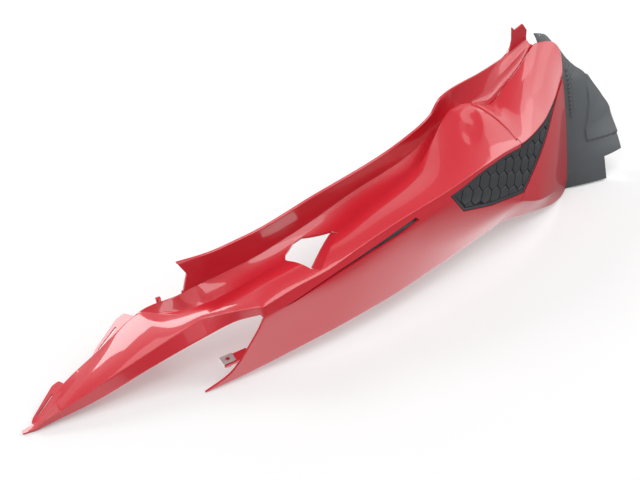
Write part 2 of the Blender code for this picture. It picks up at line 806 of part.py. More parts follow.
def make_screw(name, point, inward, mat):
    """Washer-head screw that holds an ear on a boss."""
    head = BOSS_END + 0.05
    top = head + SCREW_HEAD_HEIGHT
    obj = as_object(name, cylinder(point, inward, SCREW_SHANK / 2, head - SCREW_RUN, head + 1, 10))
    add(obj, cylinder(point, inward, SCREW_HEAD / 2, head, top, 14))
    cut(obj, cylinder(point, inward, 1.6, top - 1.2, top + 2, 6))
    return finish(obj, name, mat)


def make_upper_tail_panel(mat):
    """Panel behind the deck's seam, with its lip over the insert and a lap under the deck."""
    ratios = between(0.02, 1.0, 8)
    rows = []
    for s in between(0, 1, 11):
        row = []
        for f in ratios:
            start = DECK_SEAM_INNER_X - 4 + f * (DECK_SEAM_OUTER_X - DECK_SEAM_INNER_X)
            end = SHOULDER_END + f * (RIDGE_END - SHOULDER_END) + 4 * f * (1 - f) * 17
            x = start + s * (end - start)
            row.append(deck_point(x, f))
        last = row[-1]
        row.append(side_point(last.x, last.z - 2.2))
        rows.append(row)
    obj = as_object("upper_tail_panel", thicken(sheet(rows), WALL))
    cut(obj, seam_front())
    lap_end = DECK_SEAM_INNER_X + 14
    ear_low = TRIM_DEPTH + TRIM_WALL
    for spot in DECK_EARS:
        f = deck_at(*spot)
        fs = between(f - 0.11, f + 0.11, 3)
        add(obj, deck_patch(between(spot[0] - EAR_RADIUS, lap_end + 8, 4), fs, TRIM_DEPTH, ear_low))
        add(obj, deck_patch(between(lap_end, lap_end + 8, 2), fs, WALL - 1, ear_low))
    seat_ears(obj, [deck_axis(spot) for spot in DECK_EARS])
    return finish(obj, "upper_tail_panel", mat)


def lower_tail_outline():
    """Side-view outline of the lower tail panel."""
    seam = [(x + JOINT_GAP, z - 0.2) for x, z in SKIRT_SEAM]
    edge = [(x + JOINT_GAP * 0.6, z - JOINT_GAP * 0.8) for x, z in INSERT_BOTTOM if x > SKIRT_SEAM[-1][0]]
    return seam + edge + [(850, 182), (850, -30), (SKIRT_SEAM[0][0] + JOINT_GAP, -30)]


def make_lower_tail_panel(mat):
    """Corner panel below and behind the insert."""
    start = SKIRT_SEAM[0][0] - 4
    rows = []
    for s in between(0, 1, 12):
        row = []
        for level in [0, 0.35, 0.7] + between(1, 3, 6):
            x = start + s * (edge_x(TAIL_END, level, RIDGE_END) - start)
            row.append(side_point(x, skirt_height(x, level)))
        rows.append(row)
    obj = as_object("lower_tail_panel", thicken(sheet(rows), WALL))
    keep(obj, prism(lower_tail_outline(), "Y", -80, 120))
    for x, z in SKIRT_EARS:
        zs = between(z - EAR_RADIUS, z + EAR_RADIUS, 3)
        root, end = x + 45, x + 55
        add(obj, side_patch(between(x - EAR_RADIUS, end, 7), zs, TRIM_DEPTH, TRIM_DEPTH + TRIM_WALL))
        add(obj, side_patch(between(root, end, 2), zs, WALL - 1, TRIM_DEPTH + TRIM_WALL - 0.3))
    seat_ears(obj, [side_axis(spot) for spot in SKIRT_EARS])
    for ear in INSERT_EARS[2:] + COVER_EARS:
        add(obj, side_boss(ear))
        cut(obj, side_bore(ear))
    return finish(obj, "lower_tail_panel", mat)


def hexagon(centre, width, height):
    """Outline of a pointed-top cell."""
    half, tall = width / 2, height / 2
    x, z = centre
    return [
        (x, z + tall), (x - half, z + tall / 2), (x - half, z - tall / 2),
        (x, z - tall), (x + half, z - tall / 2), (x + half, z + tall / 2),
    ]


def pad(row, column):
    """One raised cell of the honeycomb, shaped to the side face."""
    centre = ((column + 0.5 * (row % 2)) * PAD_WIDTH, row * PAD_HEIGHT * 0.75)
    turn = math.radians(PAD_TURN)
    outline = [
        (PAD_FIRST[0] + x * math.cos(turn) + z * math.sin(turn), PAD_FIRST[1] - x * math.sin(turn) + z * math.cos(turn))
        for x, z in hexagon(centre, PAD_WIDTH - PAD_GROOVE, PAD_HEIGHT - PAD_GROOVE * 1.15)
    ]
    bm = prism(outline, "Y", 0, TRIM_DEPTH - PAD_DEPTH + 1.0)
    for v in bm.verts:
        v.co.y += (side_y(v.co.x / MM, v.co.z / MM) + PAD_DEPTH) * MM
    return bm


def side_reach(bm, outline):
    """Whether a cell's box comes over the box of an outline."""
    xs, zs = [v.co.x / MM for v in bm.verts], [v.co.z / MM for v in bm.verts]
    ends, levels = [p[0] for p in outline], [p[1] for p in outline]
    over = max(xs) > min(ends) and min(xs) < max(ends) and max(zs) > min(levels) and min(zs) < max(levels)
    return over


def insert_back():
    """Outline of the insert's flange behind the red panels."""
    back = offset_outline(insert_outline(), INSERT_FLANGE)
    return [(x, min(z, on_line(RIDGE, x).z - INSERT_TOP_DROP - 0.6)) for x, z in back]


def make_honeycomb_insert(mat):
    """Insert with a rim, raised hexagonal pads and ears behind the red panels."""
    opening = insert_outline()
    xs, zs = between(500, 824, 16), between(64, 190, 7)
    obj = as_object("honeycomb_insert", side_patch(xs, zs, TRIM_DEPTH, TRIM_DEPTH + TRIM_WALL))
    region = as_object("region", prism(insert_back(), "Y", -80, 120))
    for ear in INSERT_EARS:
        add(region, prism(round_outline(ear, EAR_RADIUS), "Y", -80, 120))
    region_mesh = bmesh.new()
    region_mesh.from_mesh(region.data)
    bpy.data.objects.remove(region)
    keep(obj, region_mesh)
    inner = offset_outline(opening, -JOINT_GAP)
    rim = as_object("rim", side_patch(xs, zs, PAD_DEPTH * 0.5, TRIM_DEPTH + 1.0))
    keep(rim, prism(inner, "Y", -80, 120))
    cut(rim, prism(offset_outline(opening, -JOINT_GAP - INSERT_RIM), "Y", -90, 130))
    rim_mesh = bmesh.new()
    rim_mesh.from_mesh(rim.data)
    bpy.data.objects.remove(rim)
    add(obj, rim_mesh)
    pads = []
    for row in range(-2, 7):
        for column in range(-3, 11):
            bm = pad(row, column)
            if side_reach(bm, opening):
                pads.append(bm)
    cells = as_object("cells", joined(pads))
    keep(cells, prism(offset_outline(opening, -JOINT_GAP - INSERT_RIM - PAD_GROOVE * 0.6), "Y", -90, 130))
    cell_mesh = bmesh.new()
    cell_mesh.from_mesh(cells.data)
    bpy.data.objects.remove(cells)
    add(obj, cell_mesh)
    seat_ears(obj, [side_axis(ear) for ear in INSERT_EARS])
    return finish(obj, "honeycomb_insert", mat)


def cover_rows(past=0.0):
    """Stations of the inner cover from its foot up round the tail to its top tab, past its edge by a bit."""
    rows = []
    ends = iter(COVER_EDGE)
    bases = []
    for z in COVER_HEIGHTS:
        x = smooth(TAIL_END, z, 1)
        near = [side_point(x + d, z) - side_normal(x, z) * TRIM_DEPTH for d in (-COVER_LAP, 2)]
        bases.append(near)
    for f in COVER_RATIOS:
        x = SHOULDER_END + f * (RIDGE_END - SHOULDER_END) + 4 * f * (1 - f) * 17
        near = [deck_point(x + d, f) - deck_normal(x, f) * COVER_DECK_DEPTH for d in (-COVER_DECK_LAP, 2)]
        bases.append(near)
    for near in bases:
        edge = Vector(next(ends))
        edge += (edge - near[1]).normalized() * past
        row = [near[0], near[1]]
        bulge = COVER_BULGE * min(1, (edge - near[1]).length / 90)
        for f in (0.2, 0.4, 0.6, 0.8, 1.0):
            row.append(near[1].lerp(edge, f) + Vector((0.25, -0.9, 0.35)) * bulge * 4 * f * (1 - f))
        rows.append(row)
    return rows


def cover_sheet(lift, depth, past=0.0):
    """Wall along the inner cover's surface."""
    rows = cover_rows(past)
    columns = [list(c) for c in zip(*rows)]
    columns = [list(reversed(c)) for c in columns]
    return thicken(sheet(columns), depth, lift)


def make_inner_cover(mat):
    """Black cover behind the tail: foot, ribs, raised field, rear flange and top tab."""
    obj = as_object("inner_cover", cover_sheet(0, TRIM_WALL))
    notch = [(COVER_FOOT_REAR_X, -20), (COVER_FOOT_REAR_X, COVER_FLANGE_Z), (990, COVER_FLANGE_Z), (990, -20)]
    cut(obj, prism(notch, "Y", -60, 120))
    cut(obj, prism(offset_outline(insert_back(), SEAT + 0.4), "Y", -60, 120))
    field = as_object("field", cover_sheet(FIELD_RISE, TRIM_WALL * 0.5, FIELD_LIP))
    keep(field, prism(FIELD, "Y", -20, 140))
    field_mesh = bmesh.new()
    field_mesh.from_mesh(field.data)
    bpy.data.objects.remove(field)
    add(obj, field_mesh)
    lean = math.radians(RIB_LEAN)
    bars = []
    for i in range(RIB_COUNT):
        x, z = RIB_FIRST[0] + i * RIB_PITCH[0], RIB_FIRST[1] + i * RIB_PITCH[1]
        along = Vector((math.cos(lean), math.sin(lean))) * RIB_SIZE[0]
        across = Vector((-math.sin(lean), math.cos(lean))) * RIB_SIZE[1]
        start = Vector((x, z))
        bars.append(prism([start, start + along, start + along + across, start + across], "Y", 0, 140))
    ribs = as_object("ribs", cover_sheet(1.4, TRIM_WALL * 0.5))
    keep(ribs, joined(bars))
    rib_mesh = bmesh.new()
    rib_mesh.from_mesh(ribs.data)
    bpy.data.objects.remove(ribs)
    add(obj, rib_mesh)
    add(obj, cover_foot())
    seat_ears(obj, [side_axis(ear) for ear in COVER_EARS])
    hole = Vector(COVER_EDGE[-1]) + Vector(TAB_HOLE_SHIFT)
    cut(obj, cylinder(hole, Vector(TAB_HOLE_WAY).normalized(), TAB_HOLE_RADIUS, -15, 15))
    add(obj, prism(REAR_LUG, "Z", REAR_LUG_Z, REAR_LUG_Z + LUG_THICK))
    cut(obj, nut_hole(REAR_NUT, REAR_LUG_Z))
    return finish(obj, "inner_cover", mat)


def cover_foot():
    """Foot that turns inwards along the cover's lower edge and carries it."""
    front = side_point(828, 1)
    near = Vector(COVER_EDGE[0])
    rear_x = COVER_FOOT_REAR_X - 0.5
    t = (rear_x - front.x) / (near.x - front.x)
    rear_y = front.y + t * (near.y - front.y)
    outline = [
        (front.x - 6, front.y + TRIM_DEPTH + 0.4), (rear_x, rear_y + 2.5),
        (rear_x, rear_y + COVER_FOOT_DEPTH), (front.x + 4, front.y + COVER_FOOT_DEPTH),
    ]
    return prism(outline, "Z", 0, TRIM_WALL)


def make_vent_trim(mat):
    """Strip behind the tapered slit."""
    outline = offset_outline(SLIT_TOP + SLIT_BOTTOM, SLIT_TRIM_MARGIN)
    outline = [(x, min(z, on_line(RIDGE, x).z - SLIT_TRIM_DROP)) for x, z in outline]
    xs, zs = between(276, 486, 10), between(60, 130, 5)
    obj = as_object("vent_trim", side_patch(xs, zs, TRIM_DEPTH, TRIM_DEPTH + TRIM_WALL))
    region = as_object("region", prism(outline, "Y", -80, 0))
    for ear in TRIM_EARS:
        add(region, prism(round_outline(ear, EAR_RADIUS), "Y", -80, 0))
    region_mesh = bmesh.new()
    region_mesh.from_mesh(region.data)
    bpy.data.objects.remove(region)
    keep(obj, region_mesh)
    seat_ears(obj, [side_axis(ear) for ear in TRIM_EARS])
    return finish(obj, "vent_trim", mat)


def nut_hole(nut, z):
    """Bore through a lug and its nut, whose lug starts at z."""
    end, y, way = nut
    return cylinder((end + way * NUT_LENGTH / 2, y, z), Vector((0, 0, 1)), NUT_BORE, -12, 12)


def make_spring_nut(name, nut, z, mat):
    """U-shaped spring nut pushed over a lug whose underside is at z."""
    end, y, way = nut
    low, high = z - SEAT - NUT_SHEET, z + LUG_THICK + SEAT + NUT_SHEET
    mouth = end + way * NUT_LENGTH
    body = [(end, low), (mouth, low), (mouth, high), (end, high)]
    obj = as_object(name, prism(body, "Y", y - NUT_WIDTH / 2, y + NUT_WIDTH / 2))
    back, out = end + way * NUT_SHEET, mouth + way * 5
    floor, roof = low + NUT_SHEET, high - NUT_SHEET
    inside = [(back, floor), (out, floor), (out, roof), (back, roof)]
    cut(obj, prism(inside, "Y", y - NUT_WIDTH, y + NUT_WIDTH))
    middle = (end + way * NUT_LENGTH / 2, y, low)
    add(obj, cylinder(middle, Vector((0, 0, 1)), NUT_BARREL, -4, NUT_SHEET * 0.5))
    cut(obj, nut_hole(nut, z))
    return finish(obj, name, mat)


def main():
    """Builds every piece and stands the fairing on the ground plane, centred on its own box."""
    for old in list(bpy.data.objects):
        bpy.data.objects.remove(old)
    red = material("gloss_red", (0.62, 0.03, 0.05), 0.12)
    black = material("black_plastic", (0.035, 0.04, 0.042), 0.5)
    insert_black = material("insert_black", (0.02, 0.024, 0.027), 0.55)
    metal = material("plated_steel", (0.6, 0.58, 0.55), 0.3, 1.0)
    pieces = [
        make_side_panel(red),
        make_upper_tail_panel(red.copy()),
        make_lower_tail_panel(red.copy()),
        make_honeycomb_insert(insert_black),
        make_inner_cover(black),
        make_vent_trim(black.copy()),
        make_spring_nut("front_spring_nut", FRONT_NUT, LUG_Z, metal),
        make_spring_nut("rear_spring_nut", REAR_NUT, REAR_LUG_Z, metal),
    ]
    for i, ear in enumerate(INSERT_EARS):
        pieces.append(make_screw(f"insert_screw_{i + 1}", *side_axis(ear), metal))
    for i, ear in enumerate(SKIRT_EARS):
        pieces.append(make_screw(f"skirt_screw_{i + 1}", *side_axis(ear), metal))
    for i, ear in enumerate(TRIM_EARS):
        pieces.append(make_screw(f"trim_screw_{i + 1}", *side_axis(ear), metal))
    for i, ear in enumerate(COVER_EARS):
        pieces.append(make_screw(f"cover_screw_{i + 1}", *side_axis(ear), metal))
    for i, ear in enumerate(DECK_EARS):
        pieces.append(make_screw(f"deck_screw_{i + 1}", *deck_axis(ear), metal))
    corners = [v.co for piece in pieces for v in piece.data.vertices]
    low = Vector([min(c[k] for c in corners) for k in range(3)])
    high = Vector([max(c[k] for c in corners) for k in range(3)])
    frame = bpy.data.objects.new("fairing_frame", None)
    bpy.context.scene.collection.objects.link(frame)
    frame.location = (-(low.x + high.x) / 2, -(low.y + high.y) / 2, -low.z)
    for piece in pieces:
        piece.parent = frame


main()
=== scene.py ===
"""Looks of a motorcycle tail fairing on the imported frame: red panels, honeycomb insert and ribbed cover."""

import logging
import math
from bisect import bisect_right
from dataclasses import dataclass
from enum import Enum
from functools import cached_property
from typing import Any, Callable, ClassVar, Mapping, Sequence

import bmesh
import bpy
from mathutils import Matrix, Vector

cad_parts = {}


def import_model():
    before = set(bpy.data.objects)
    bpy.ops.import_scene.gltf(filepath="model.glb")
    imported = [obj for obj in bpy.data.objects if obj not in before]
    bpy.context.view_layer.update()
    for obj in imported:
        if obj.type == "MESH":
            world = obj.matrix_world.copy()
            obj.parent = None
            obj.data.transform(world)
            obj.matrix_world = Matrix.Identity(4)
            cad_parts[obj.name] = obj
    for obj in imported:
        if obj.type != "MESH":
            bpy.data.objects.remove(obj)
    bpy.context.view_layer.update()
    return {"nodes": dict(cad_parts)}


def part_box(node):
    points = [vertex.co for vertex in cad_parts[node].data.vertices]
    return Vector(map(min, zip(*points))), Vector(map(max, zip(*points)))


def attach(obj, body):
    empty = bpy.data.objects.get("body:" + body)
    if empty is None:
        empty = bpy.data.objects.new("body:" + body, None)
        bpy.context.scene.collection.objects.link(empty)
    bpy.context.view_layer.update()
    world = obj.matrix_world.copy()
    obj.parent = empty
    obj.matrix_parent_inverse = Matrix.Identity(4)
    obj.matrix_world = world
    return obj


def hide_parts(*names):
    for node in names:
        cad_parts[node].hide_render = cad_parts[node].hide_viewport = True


LOG = logging.getLogger("tail_fairing")
MM = 0.001
BODY = "root"
SLIVER = 0.00001
WELD = 0.00002
CREASE_ANGLE = math.radians(11)
SHELL_LIMIT = 1.35

BMesh = bmesh.types.BMesh
Material = bpy.types.Material
Tree = bpy.types.NodeTree
Sockets = Mapping[str | int, bpy.types.NodeSocket]
Inputs = Mapping[str | int, Any]
Pair = tuple[float, float]
Triple = tuple[float, float, float]
Outline = Sequence[Pair]
Points = list[Pair]


class Axis(Enum):
    """Direction that a prism is drawn along."""

    ACROSS = "Y"
    UP = "Z"


class Cut(Enum):
    """Boolean operations."""

    AWAY = "DIFFERENCE"
    JOIN = "UNION"
    COMMON = "INTERSECT"


class Curve:
    """Smooth curve through knots that never overshoots them."""

    def __init__(self, knots: Sequence[tuple[float, ...]]) -> None:
        """Works out the slopes once.

        Args:
            knots: Tuples of a place and the values there, in order of place.
        """
        self.places = [k[0] for k in knots]
        self.values = [k[1:] for k in knots]
        self.tangents = []
        for column in range(len(self.values[0])):
            rise = [
                (self.values[j + 1][column] - self.values[j][column]) / (self.places[j + 1] - self.places[j])
                for j in range(len(knots) - 1)
            ]
            inner = [0.0 if a * b <= 0 else 2 * a * b / (a + b) for a, b in zip(rise, rise[1:])]
            self.tangents.append([rise[0], *inner, rise[-1]])

    def at(self, place: float) -> list[float]:
        """Values at a place.

        Args:
            place: Where along the curve; past the ends it runs on straight.

        Returns:
            One value for each column of the knots.
        """
        last = len(self.places) - 1
        i = min(max(bisect_right(self.places, place) - 1, 0), last - 1)
        x0, x1 = self.places[i], self.places[i + 1]
        span = x1 - x0
        t = (place - x0) / span
        out = []
        for column, tangent in enumerate(self.tangents):
            y0, y1 = self.values[i][column], self.values[i + 1][column]
            if t < 0:
                out.append(y0 + tangent[i] * (place - x0))
            elif t > 1:
                out.append(y1 + tangent[i + 1] * (place - x1))
            else:
                out.append(
                    (2 * t**3 - 3 * t**2 + 1) * y0
                    + (t**3 - 2 * t**2 + t) * span * tangent[i]
                    + (-2 * t**3 + 3 * t**2) * y1
                    + (t**3 - t**2) * span * tangent[i + 1]
                )
        return out


def fade(x: float, start: float, end: float) -> float:
    """Goes smoothly from 0 at start to 1 at end."""
    t = min(1.0, max(0.0, (x - start) / (end - start)))
    return t * t * (3 - 2 * t)


def steps(a: float, b: float, n: int) -> list[float]:
    """n + 1 even steps from a to b."""
    return [a + (b - a) * i / n for i in range(n + 1)]


def side_levels(upper: int, middle: int, lower: int) -> list[float]:
    """Levels of the side face that a grid follows, as in Skin.skirt_height."""
    return steps(0, 1, upper) + steps(1, 2, middle)[1:] + steps(2, 3, lower)[1:]


class Line(Curve):
    """Line of the skin, as y and z over x."""

    def point(self, x: float) -> Vector:
        """Point of the line at x."""
        return Vector((x, *self.at(x)))


@dataclass
class Skin:
    """Outer skin of the fairing, in millimetres from the front tongue."""

    rail_top: Line = Line([
        (198, 31, 122), (235, 31, 119.5), (280, 31, 124), (386, 44, 138), (485, 62, 146), (560, 81, 156),
        (592, 90, 166), (612, 98, 181), (640, 105, 187), (693, 112, 194), (742, 118, 205), (784, 121, 222),
    ])
    foot: Line = Line([
        (22, 9, 8), (49, 26, 21), (94, 38, 37), (142, 51, 54), (152, 52, 58), (197, 30, 79), (235, 31, 83),
        (283, 30, 90), (338, 36, 98), (378, 43, 103), (443, 57, 112), (530, 72, 122), (560, 80, 127),
        (602, 92, 143), (640, 96, 155), (680, 96, 164), (722, 102, 186), (784, 113, 217),
    ])
    shoulder: Line = Line([
        (26, 0, 11), (85, 24, 35), (149, 47.5, 57.3), (154, 46.5, 58.2), (171, 32, 60), (210, 12, 69),
        (242, 4, 77), (278, 2, 86), (317, 2, 92), (378, 8, 99.5), (444, 17, 114.5), (530, 38, 128),
        (557, 52, 136.5), (582, 67, 149.3), (604, 80, 160), (622, 86, 168), (642, 87, 170), (660, 84, 168),
        (683, 80, 162), (721, 90, 178), (753, 99, 195), (785, 109, 217), (832, 117, 240),
    ])
    crest: Line = Line([
        (22, -5.5, 11), (74, -9, 30), (145, -9, 52), (199, -10, 69), (235, -29, 80), (262, -45, 86),
    ])
    ridge: Line = Line([
        (180, -46, 70), (262, -45, 86), (306, -43, 94), (346, -42, 99), (388, -40, 111), (445, -37, 125),
        (525, -30, 136), (596, -20, 146), (630, -13, 148), (676, -3, 146), (731, 18, 150), (775, 42, 164),
        (812, 67, 183), (834, 79, 196),
    ])
    arm_edge: Line = Line([
        (22, -5.5, 3.6), (77, -12, 16), (140, -17, 36), (192, -24, 54), (232, -32, 68), (260, -45, 76),
    ])
    belt: Line = Line([
        (180, -49, 48), (280, -50, 76), (348, -48, 89), (401, -47, 104), (449, -45, 112), (526, -38, 118),
        (600, -28, 116), (676, -11, 110), (731, 3, 107), (775, 20, 106), (822, 46, 102), (834, 52, 101),
    ])
    crease: Line = Line([
        (180, -51, 24), (280, -54, 45), (380, -55, 58), (480, -48, 66), (580, -37, 70), (655, -28, 69),
        (703, -24, 54), (753, -8, 39), (812, 19, 24), (830, 27, 21),
    ])
    bottom: Line = Line([
        (180, -50, 0), (223, -54, 5), (281, -58, 14), (342, -59.9, 22), (420, -56, 28), (509, -44, 33),
        (617, -25, 37), (640, -20, 37), (700, -12, 24), (760, -4, 12), (800, 10, 4), (834, 28, 1),
    ])
    skirt_front: Curve = Curve([
        (0, 182), (14, 212), (29, 227), (47, 241), (66, 255), (76, 260), (87, 262),
    ])
    tail_end: Curve = Curve([
        (0, 826), (50, 826), (99, 822), (156, 815), (183, 812), (200, 812),
    ])
    rail_start: float = 198
    shoulder_start: float = 207
    ridge_start: float = 262
    rail_end: float = 784
    shoulder_end: float = 785
    ridge_end: float = 812
    tail_bow: float = 17
    trough_dish: float = -3.5
    arm_crown: float = 1.6
    deck_crown: float = 4.0
    deck_crown_rear: float = 8.0
    crease_break: Pair = (640, 690)
    wall_hollow: float = 1.5
    flange_step: float = 2.6
    flange_run: Pair = (20, 45)
    arm_end: Pair = (150, 200)
    dish_run: Pair = (210, 330)
    crown_run: Pair = (190, 300)
    rear_crown_run: Pair = (560, 660)
    nose_crown_run: Pair = (20, 90)
    scoop_centre: Pair = (622, 44)
    scoop_half_length: float = 38
    scoop_half_width: float = 15
    scoop_turn: float = 50
    scoop_depth: float = 3.2
    wall: float = 2.8
    trim_wall: float = 2.4
    seat: float = 0.75
    joint_gap: float = 0.7

    @property
    def trim_depth(self) -> float:
        """Depth at which trim lies behind the red panels."""
        return self.wall + self.seat

    @property
    def side_lines(self) -> tuple[Line, ...]:
        """Lines of the side face, from the top down."""
        return self.ridge, self.belt, self.crease, self.bottom

    def wall_point(self, x: float, f: float) -> Vector:
        """Point of the rail's wall.

        Args:
            x: Place along the fairing.
            f: 0 at the rail's top and 1 at its foot.

        Returns:
            The point on the skin.
        """
        point = self.rail_top.point(x).lerp(self.foot.point(x), f)
        point.y += self.wall_hollow * 4 * f * (1 - f)
        return point

    def trough_point(self, x: float, f: float) -> Vector:
        """Point of the channel's floor, or of the arm's stepped flange.

        Args:
            x: Place along the fairing.
            f: 0 at the rail's foot and 1 at the shoulder.

        Returns:
            The point on the skin.
        """
        foot, shoulder = self.foot.point(x), self.shoulder.point(x)
        point = foot.lerp(shoulder, f)
        on_arm = 1 - fade(x, *self.arm_end)
        narrow = min(1, (foot - shoulder).length / 25)
        dish = self.trough_dish * 4 * f * (1 - f) * fade(x, *self.dish_run) * narrow
        step = self.flange_step * on_arm * (1 - fade(f, 0.88, 1.0)) * fade(x, *self.flange_run)
        point.z += dish - step
        return point

    def deck_point(self, x: float, f: float) -> Vector:
        """Point of the deck or of the arm's upper face.

        Args:
            x: Place along the fairing.
            f: 0 at the shoulder and 1 at the ridge or the arm's crest.

        Returns:
            The point on the skin.
        """
        point = self.shoulder.point(x).lerp(self.deck_edge(x), f)
        crown = self.arm_crown + (self.deck_crown - self.arm_crown) * fade(x, *self.crown_run)
        crown += (self.deck_crown_rear - self.deck_crown) * fade(x, *self.rear_crown_run)
        point.z += crown * fade(x, *self.nose_crown_run) * 4 * f * (1 - f)
        return point

    def scooped(self, point: Vector) -> Vector:
        """Deck point sunk into the finger scoop where it lies over it.

        Args:
            point: Point of the deck.

        Returns:
            The point, sunk by the scoop's depth there.
        """
        turn = math.radians(self.scoop_turn)
        dx, dy = point.x - self.scoop_centre[0], point.y - self.scoop_centre[1]
        along = (dx * math.cos(turn) + dy * math.sin(turn)) / self.scoop_half_length
        across = (dy * math.cos(turn) - dx * math.sin(turn)) / self.scoop_half_width
        sunk = point.copy()
        sunk.z -= self.scoop_depth * (1 - fade(math.hypot(along, across), 0.3, 1.15))
        return sunk

    def side_y(self, x: float, z: float) -> float:
        """Distance of the outer side face; on the tail the face breaks at its crease.

        Args:
            x: Place along the fairing.
            z: Height.

        Returns:
            The distance across.
        """
        ridge, belt, crease, bottom = (tuple(line.at(x))[::-1] for line in self.side_lines)
        soft = Curve([bottom, crease, belt, ridge]).at(z)[0]
        share = fade(x, *self.crease_break)
        if share == 0:
            return soft
        crisp = Curve([bottom, crease] if z < crease[0] else [crease, belt, ridge]).at(z)[0]
        return soft + share * (crisp - soft)

    def side_point(self, x: float, z: float) -> Vector:
        """Point of the outer side face."""
        return Vector((x, self.side_y(x, z), z))

    def side_normal(self, x: float, z: float) -> Vector:
        """Outward direction of the side face.

        Args:
            x: Place along the fairing.
            z: Height.

        Returns:
            Direction of length 1.
        """
        along = self.side_point(x + 1, z) - self.side_point(x - 1, z)
        up = self.side_point(x, z + 1) - self.side_point(x, z - 1)
        return along.cross(up).normalized()

    def deck_normal(self, x: float, f: float) -> Vector:
        """Outward direction of the deck.

        Args:
            x: Place along the fairing.
            f: 0 at the shoulder and 1 at the outer edge.

        Returns:
            Direction of length 1.
        """
        along = self.deck_point(x + 1, f) - self.deck_point(x - 1, f)
        out = self.deck_point(x, f + 0.02) - self.deck_point(x, f - 0.02)
        return out.cross(along).normalized()

    def deck_edge(self, x: float) -> Vector:
        """Point of the deck's outer edge: the arm's crest, then the ridge."""
        return (self.crest if x < self.ridge_start else self.ridge).point(x)

    def deck_at(self, x: float, y: float) -> float:
        """Share of the deck's width at which it passes over y."""
        inner = self.shoulder.point(x).y
        return (inner - y) / (inner - self.deck_edge(x).y)

    def deck_tail(self, f: float) -> float:
        """Place of the deck's bowed rear end at a share of its width."""
        return self.shoulder_end + f * (self.ridge_end - self.shoulder_end) + 4 * f * (1 - f) * self.tail_bow

    def skirt_height(self, x: float, level: float) -> float:
        """Height of a level of the side face.

        Args:
            x: Place along the fairing.
            level: 0 the ridge, 1 the belt, 2 the crease and 3 the bottom.

        Returns:
            The height there.
        """
        upper = min(int(level), 2)
        high, low = (line.at(x)[1] for line in self.side_lines[upper:upper + 2])
        return high + (level - upper) * (low - high)

    def edge_x(self, edge: Curve, level: float, guess: float) -> float:
        """Where a level of the side face meets an edge.

        Args:
            edge: The edge, as x over height.
            level: The level, as in skirt_height.
            guess: Where to start looking.

        Returns:
            The place along the fairing.
        """
        x = guess
        for _ in range(8):
            x = edge.at(self.skirt_height(x, level))[0]
        return x

    def tail_x(self, level: float) -> float:
        """Where a level of the side face meets the tail's end."""
        return self.edge_x(self.tail_end, level, self.ridge_end)


SKIN = Skin()


@dataclass
class Lay:
    """Place of the fairing's own measure in the frame, read from the front spring nut."""

    nut: str = "front_spring_nut"
    centre: Pair = (215.0, -44.2)
    top: float = 27 + 2.5 + 0.75 + 1.0

    def shift(self) -> Vector:
        """Where the front tongue's zero lies, in metres.

        Returns:
            The place in the frame.
        """
        low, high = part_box(self.nut)
        middle = (low + high) / 2
        x, y = (middle[k] - self.centre[k] * MM for k in (0, 1))
        return Vector((x, y, high.z - self.top * MM))


def surface(rows: list[list[Vector]], keep: Callable[[int, int], bool] | None = None) -> BMesh:
    """Open surface through rows of points.

    Args:
        rows: Points in millimetres, all rows equally long.
        keep: Tells which cells stay, by row and column; all of them without it.

    Returns:
        The surface, its faces pointing out.
    """
    bm = bmesh.new()
    columns = len(rows[0])
    bmesh.ops.create_grid(bm, x_segments=columns - 1, y_segments=len(rows) - 1, size=1.0)
    bm.verts.ensure_lookup_table()
    for vert, point in zip(bm.verts, (p for row in rows for p in row)):
        vert.co = point * MM
    if keep is not None:
        gone = [face for k, face in enumerate(bm.faces) if not keep(*divmod(k, columns - 1))]
        bmesh.ops.delete(bm, geom=gone, context="FACES")
    bmesh.ops.remove_doubles(bm, verts=bm.verts, dist=WELD)
    bmesh.ops.dissolve_degenerate(bm, edges=bm.edges, dist=SLIVER)
    bm.normal_update()
    return bm


def soften(bm: BMesh, edges: list[bmesh.types.BMEdge], radius: float, segments: int = 2) -> None:
    """Rounds edges of a mesh to a radius in millimetres.

    Args:
        bm: The mesh.
        edges: Those of its edges that are rounded.
        radius: The radius.
        segments: Faces across each rounding.
    """
    bmesh.ops.bevel(
        bm, geom=edges, offset=radius * MM, offset_type="OFFSET", segments=segments, profile=0.5,
        affect="EDGES", clamp_overlap=True, material=-1,
    )


def walled(bm: BMesh, depth: Callable[[Vector], float], soft: float = 0.5,
           crease: float = 0.0) -> BMesh:
    """Open surface made into a closed wall with soft rims and creases.

    Args:
        bm: The surface, which becomes the wall's outer face.
        depth: Thickness in millimetres at a point.
        soft: Radius of the outer rim in millimetres, 0 for none.
        crease: Radius of the outer creases, 0 to leave them.

    Returns:
        The same mesh, closed.
    """
    bm.normal_update()
    outer = list(bm.verts)
    normals = {v: (v.normal.copy(), min(v.calc_shell_factor(), SHELL_LIMIT)) for v in outer}
    rims = [e for e in bm.edges if e.is_boundary]
    sharp = [e for e in bm.edges if len(e.link_faces) == 2 and e.calc_face_angle_signed() > CREASE_ANGLE]
    copy = bmesh.ops.duplicate(bm, geom=outer + list(bm.edges) + list(bm.faces))
    for vert in outer:
        twin = copy["vert_map"][vert]
        normal, factor = normals[vert]
        twin.co = vert.co - normal * depth(vert.co / MM) * factor * MM
    faces = [g for g in copy["geom"] if isinstance(g, bmesh.types.BMFace)]
    bmesh.ops.reverse_faces(bm, faces=faces)
    edges = [g for g in copy["geom"] if isinstance(g, bmesh.types.BMEdge) and g.is_boundary]
    bmesh.ops.bridge_loops(bm, edges=rims + edges)
    if soft > 0:
        soften(bm, rims, soft)
    if crease > 0:
        soften(bm, [e for e in sharp if e.is_valid], crease, 3)
    bmesh.ops.recalc_face_normals(bm, faces=bm.faces)
    return bm


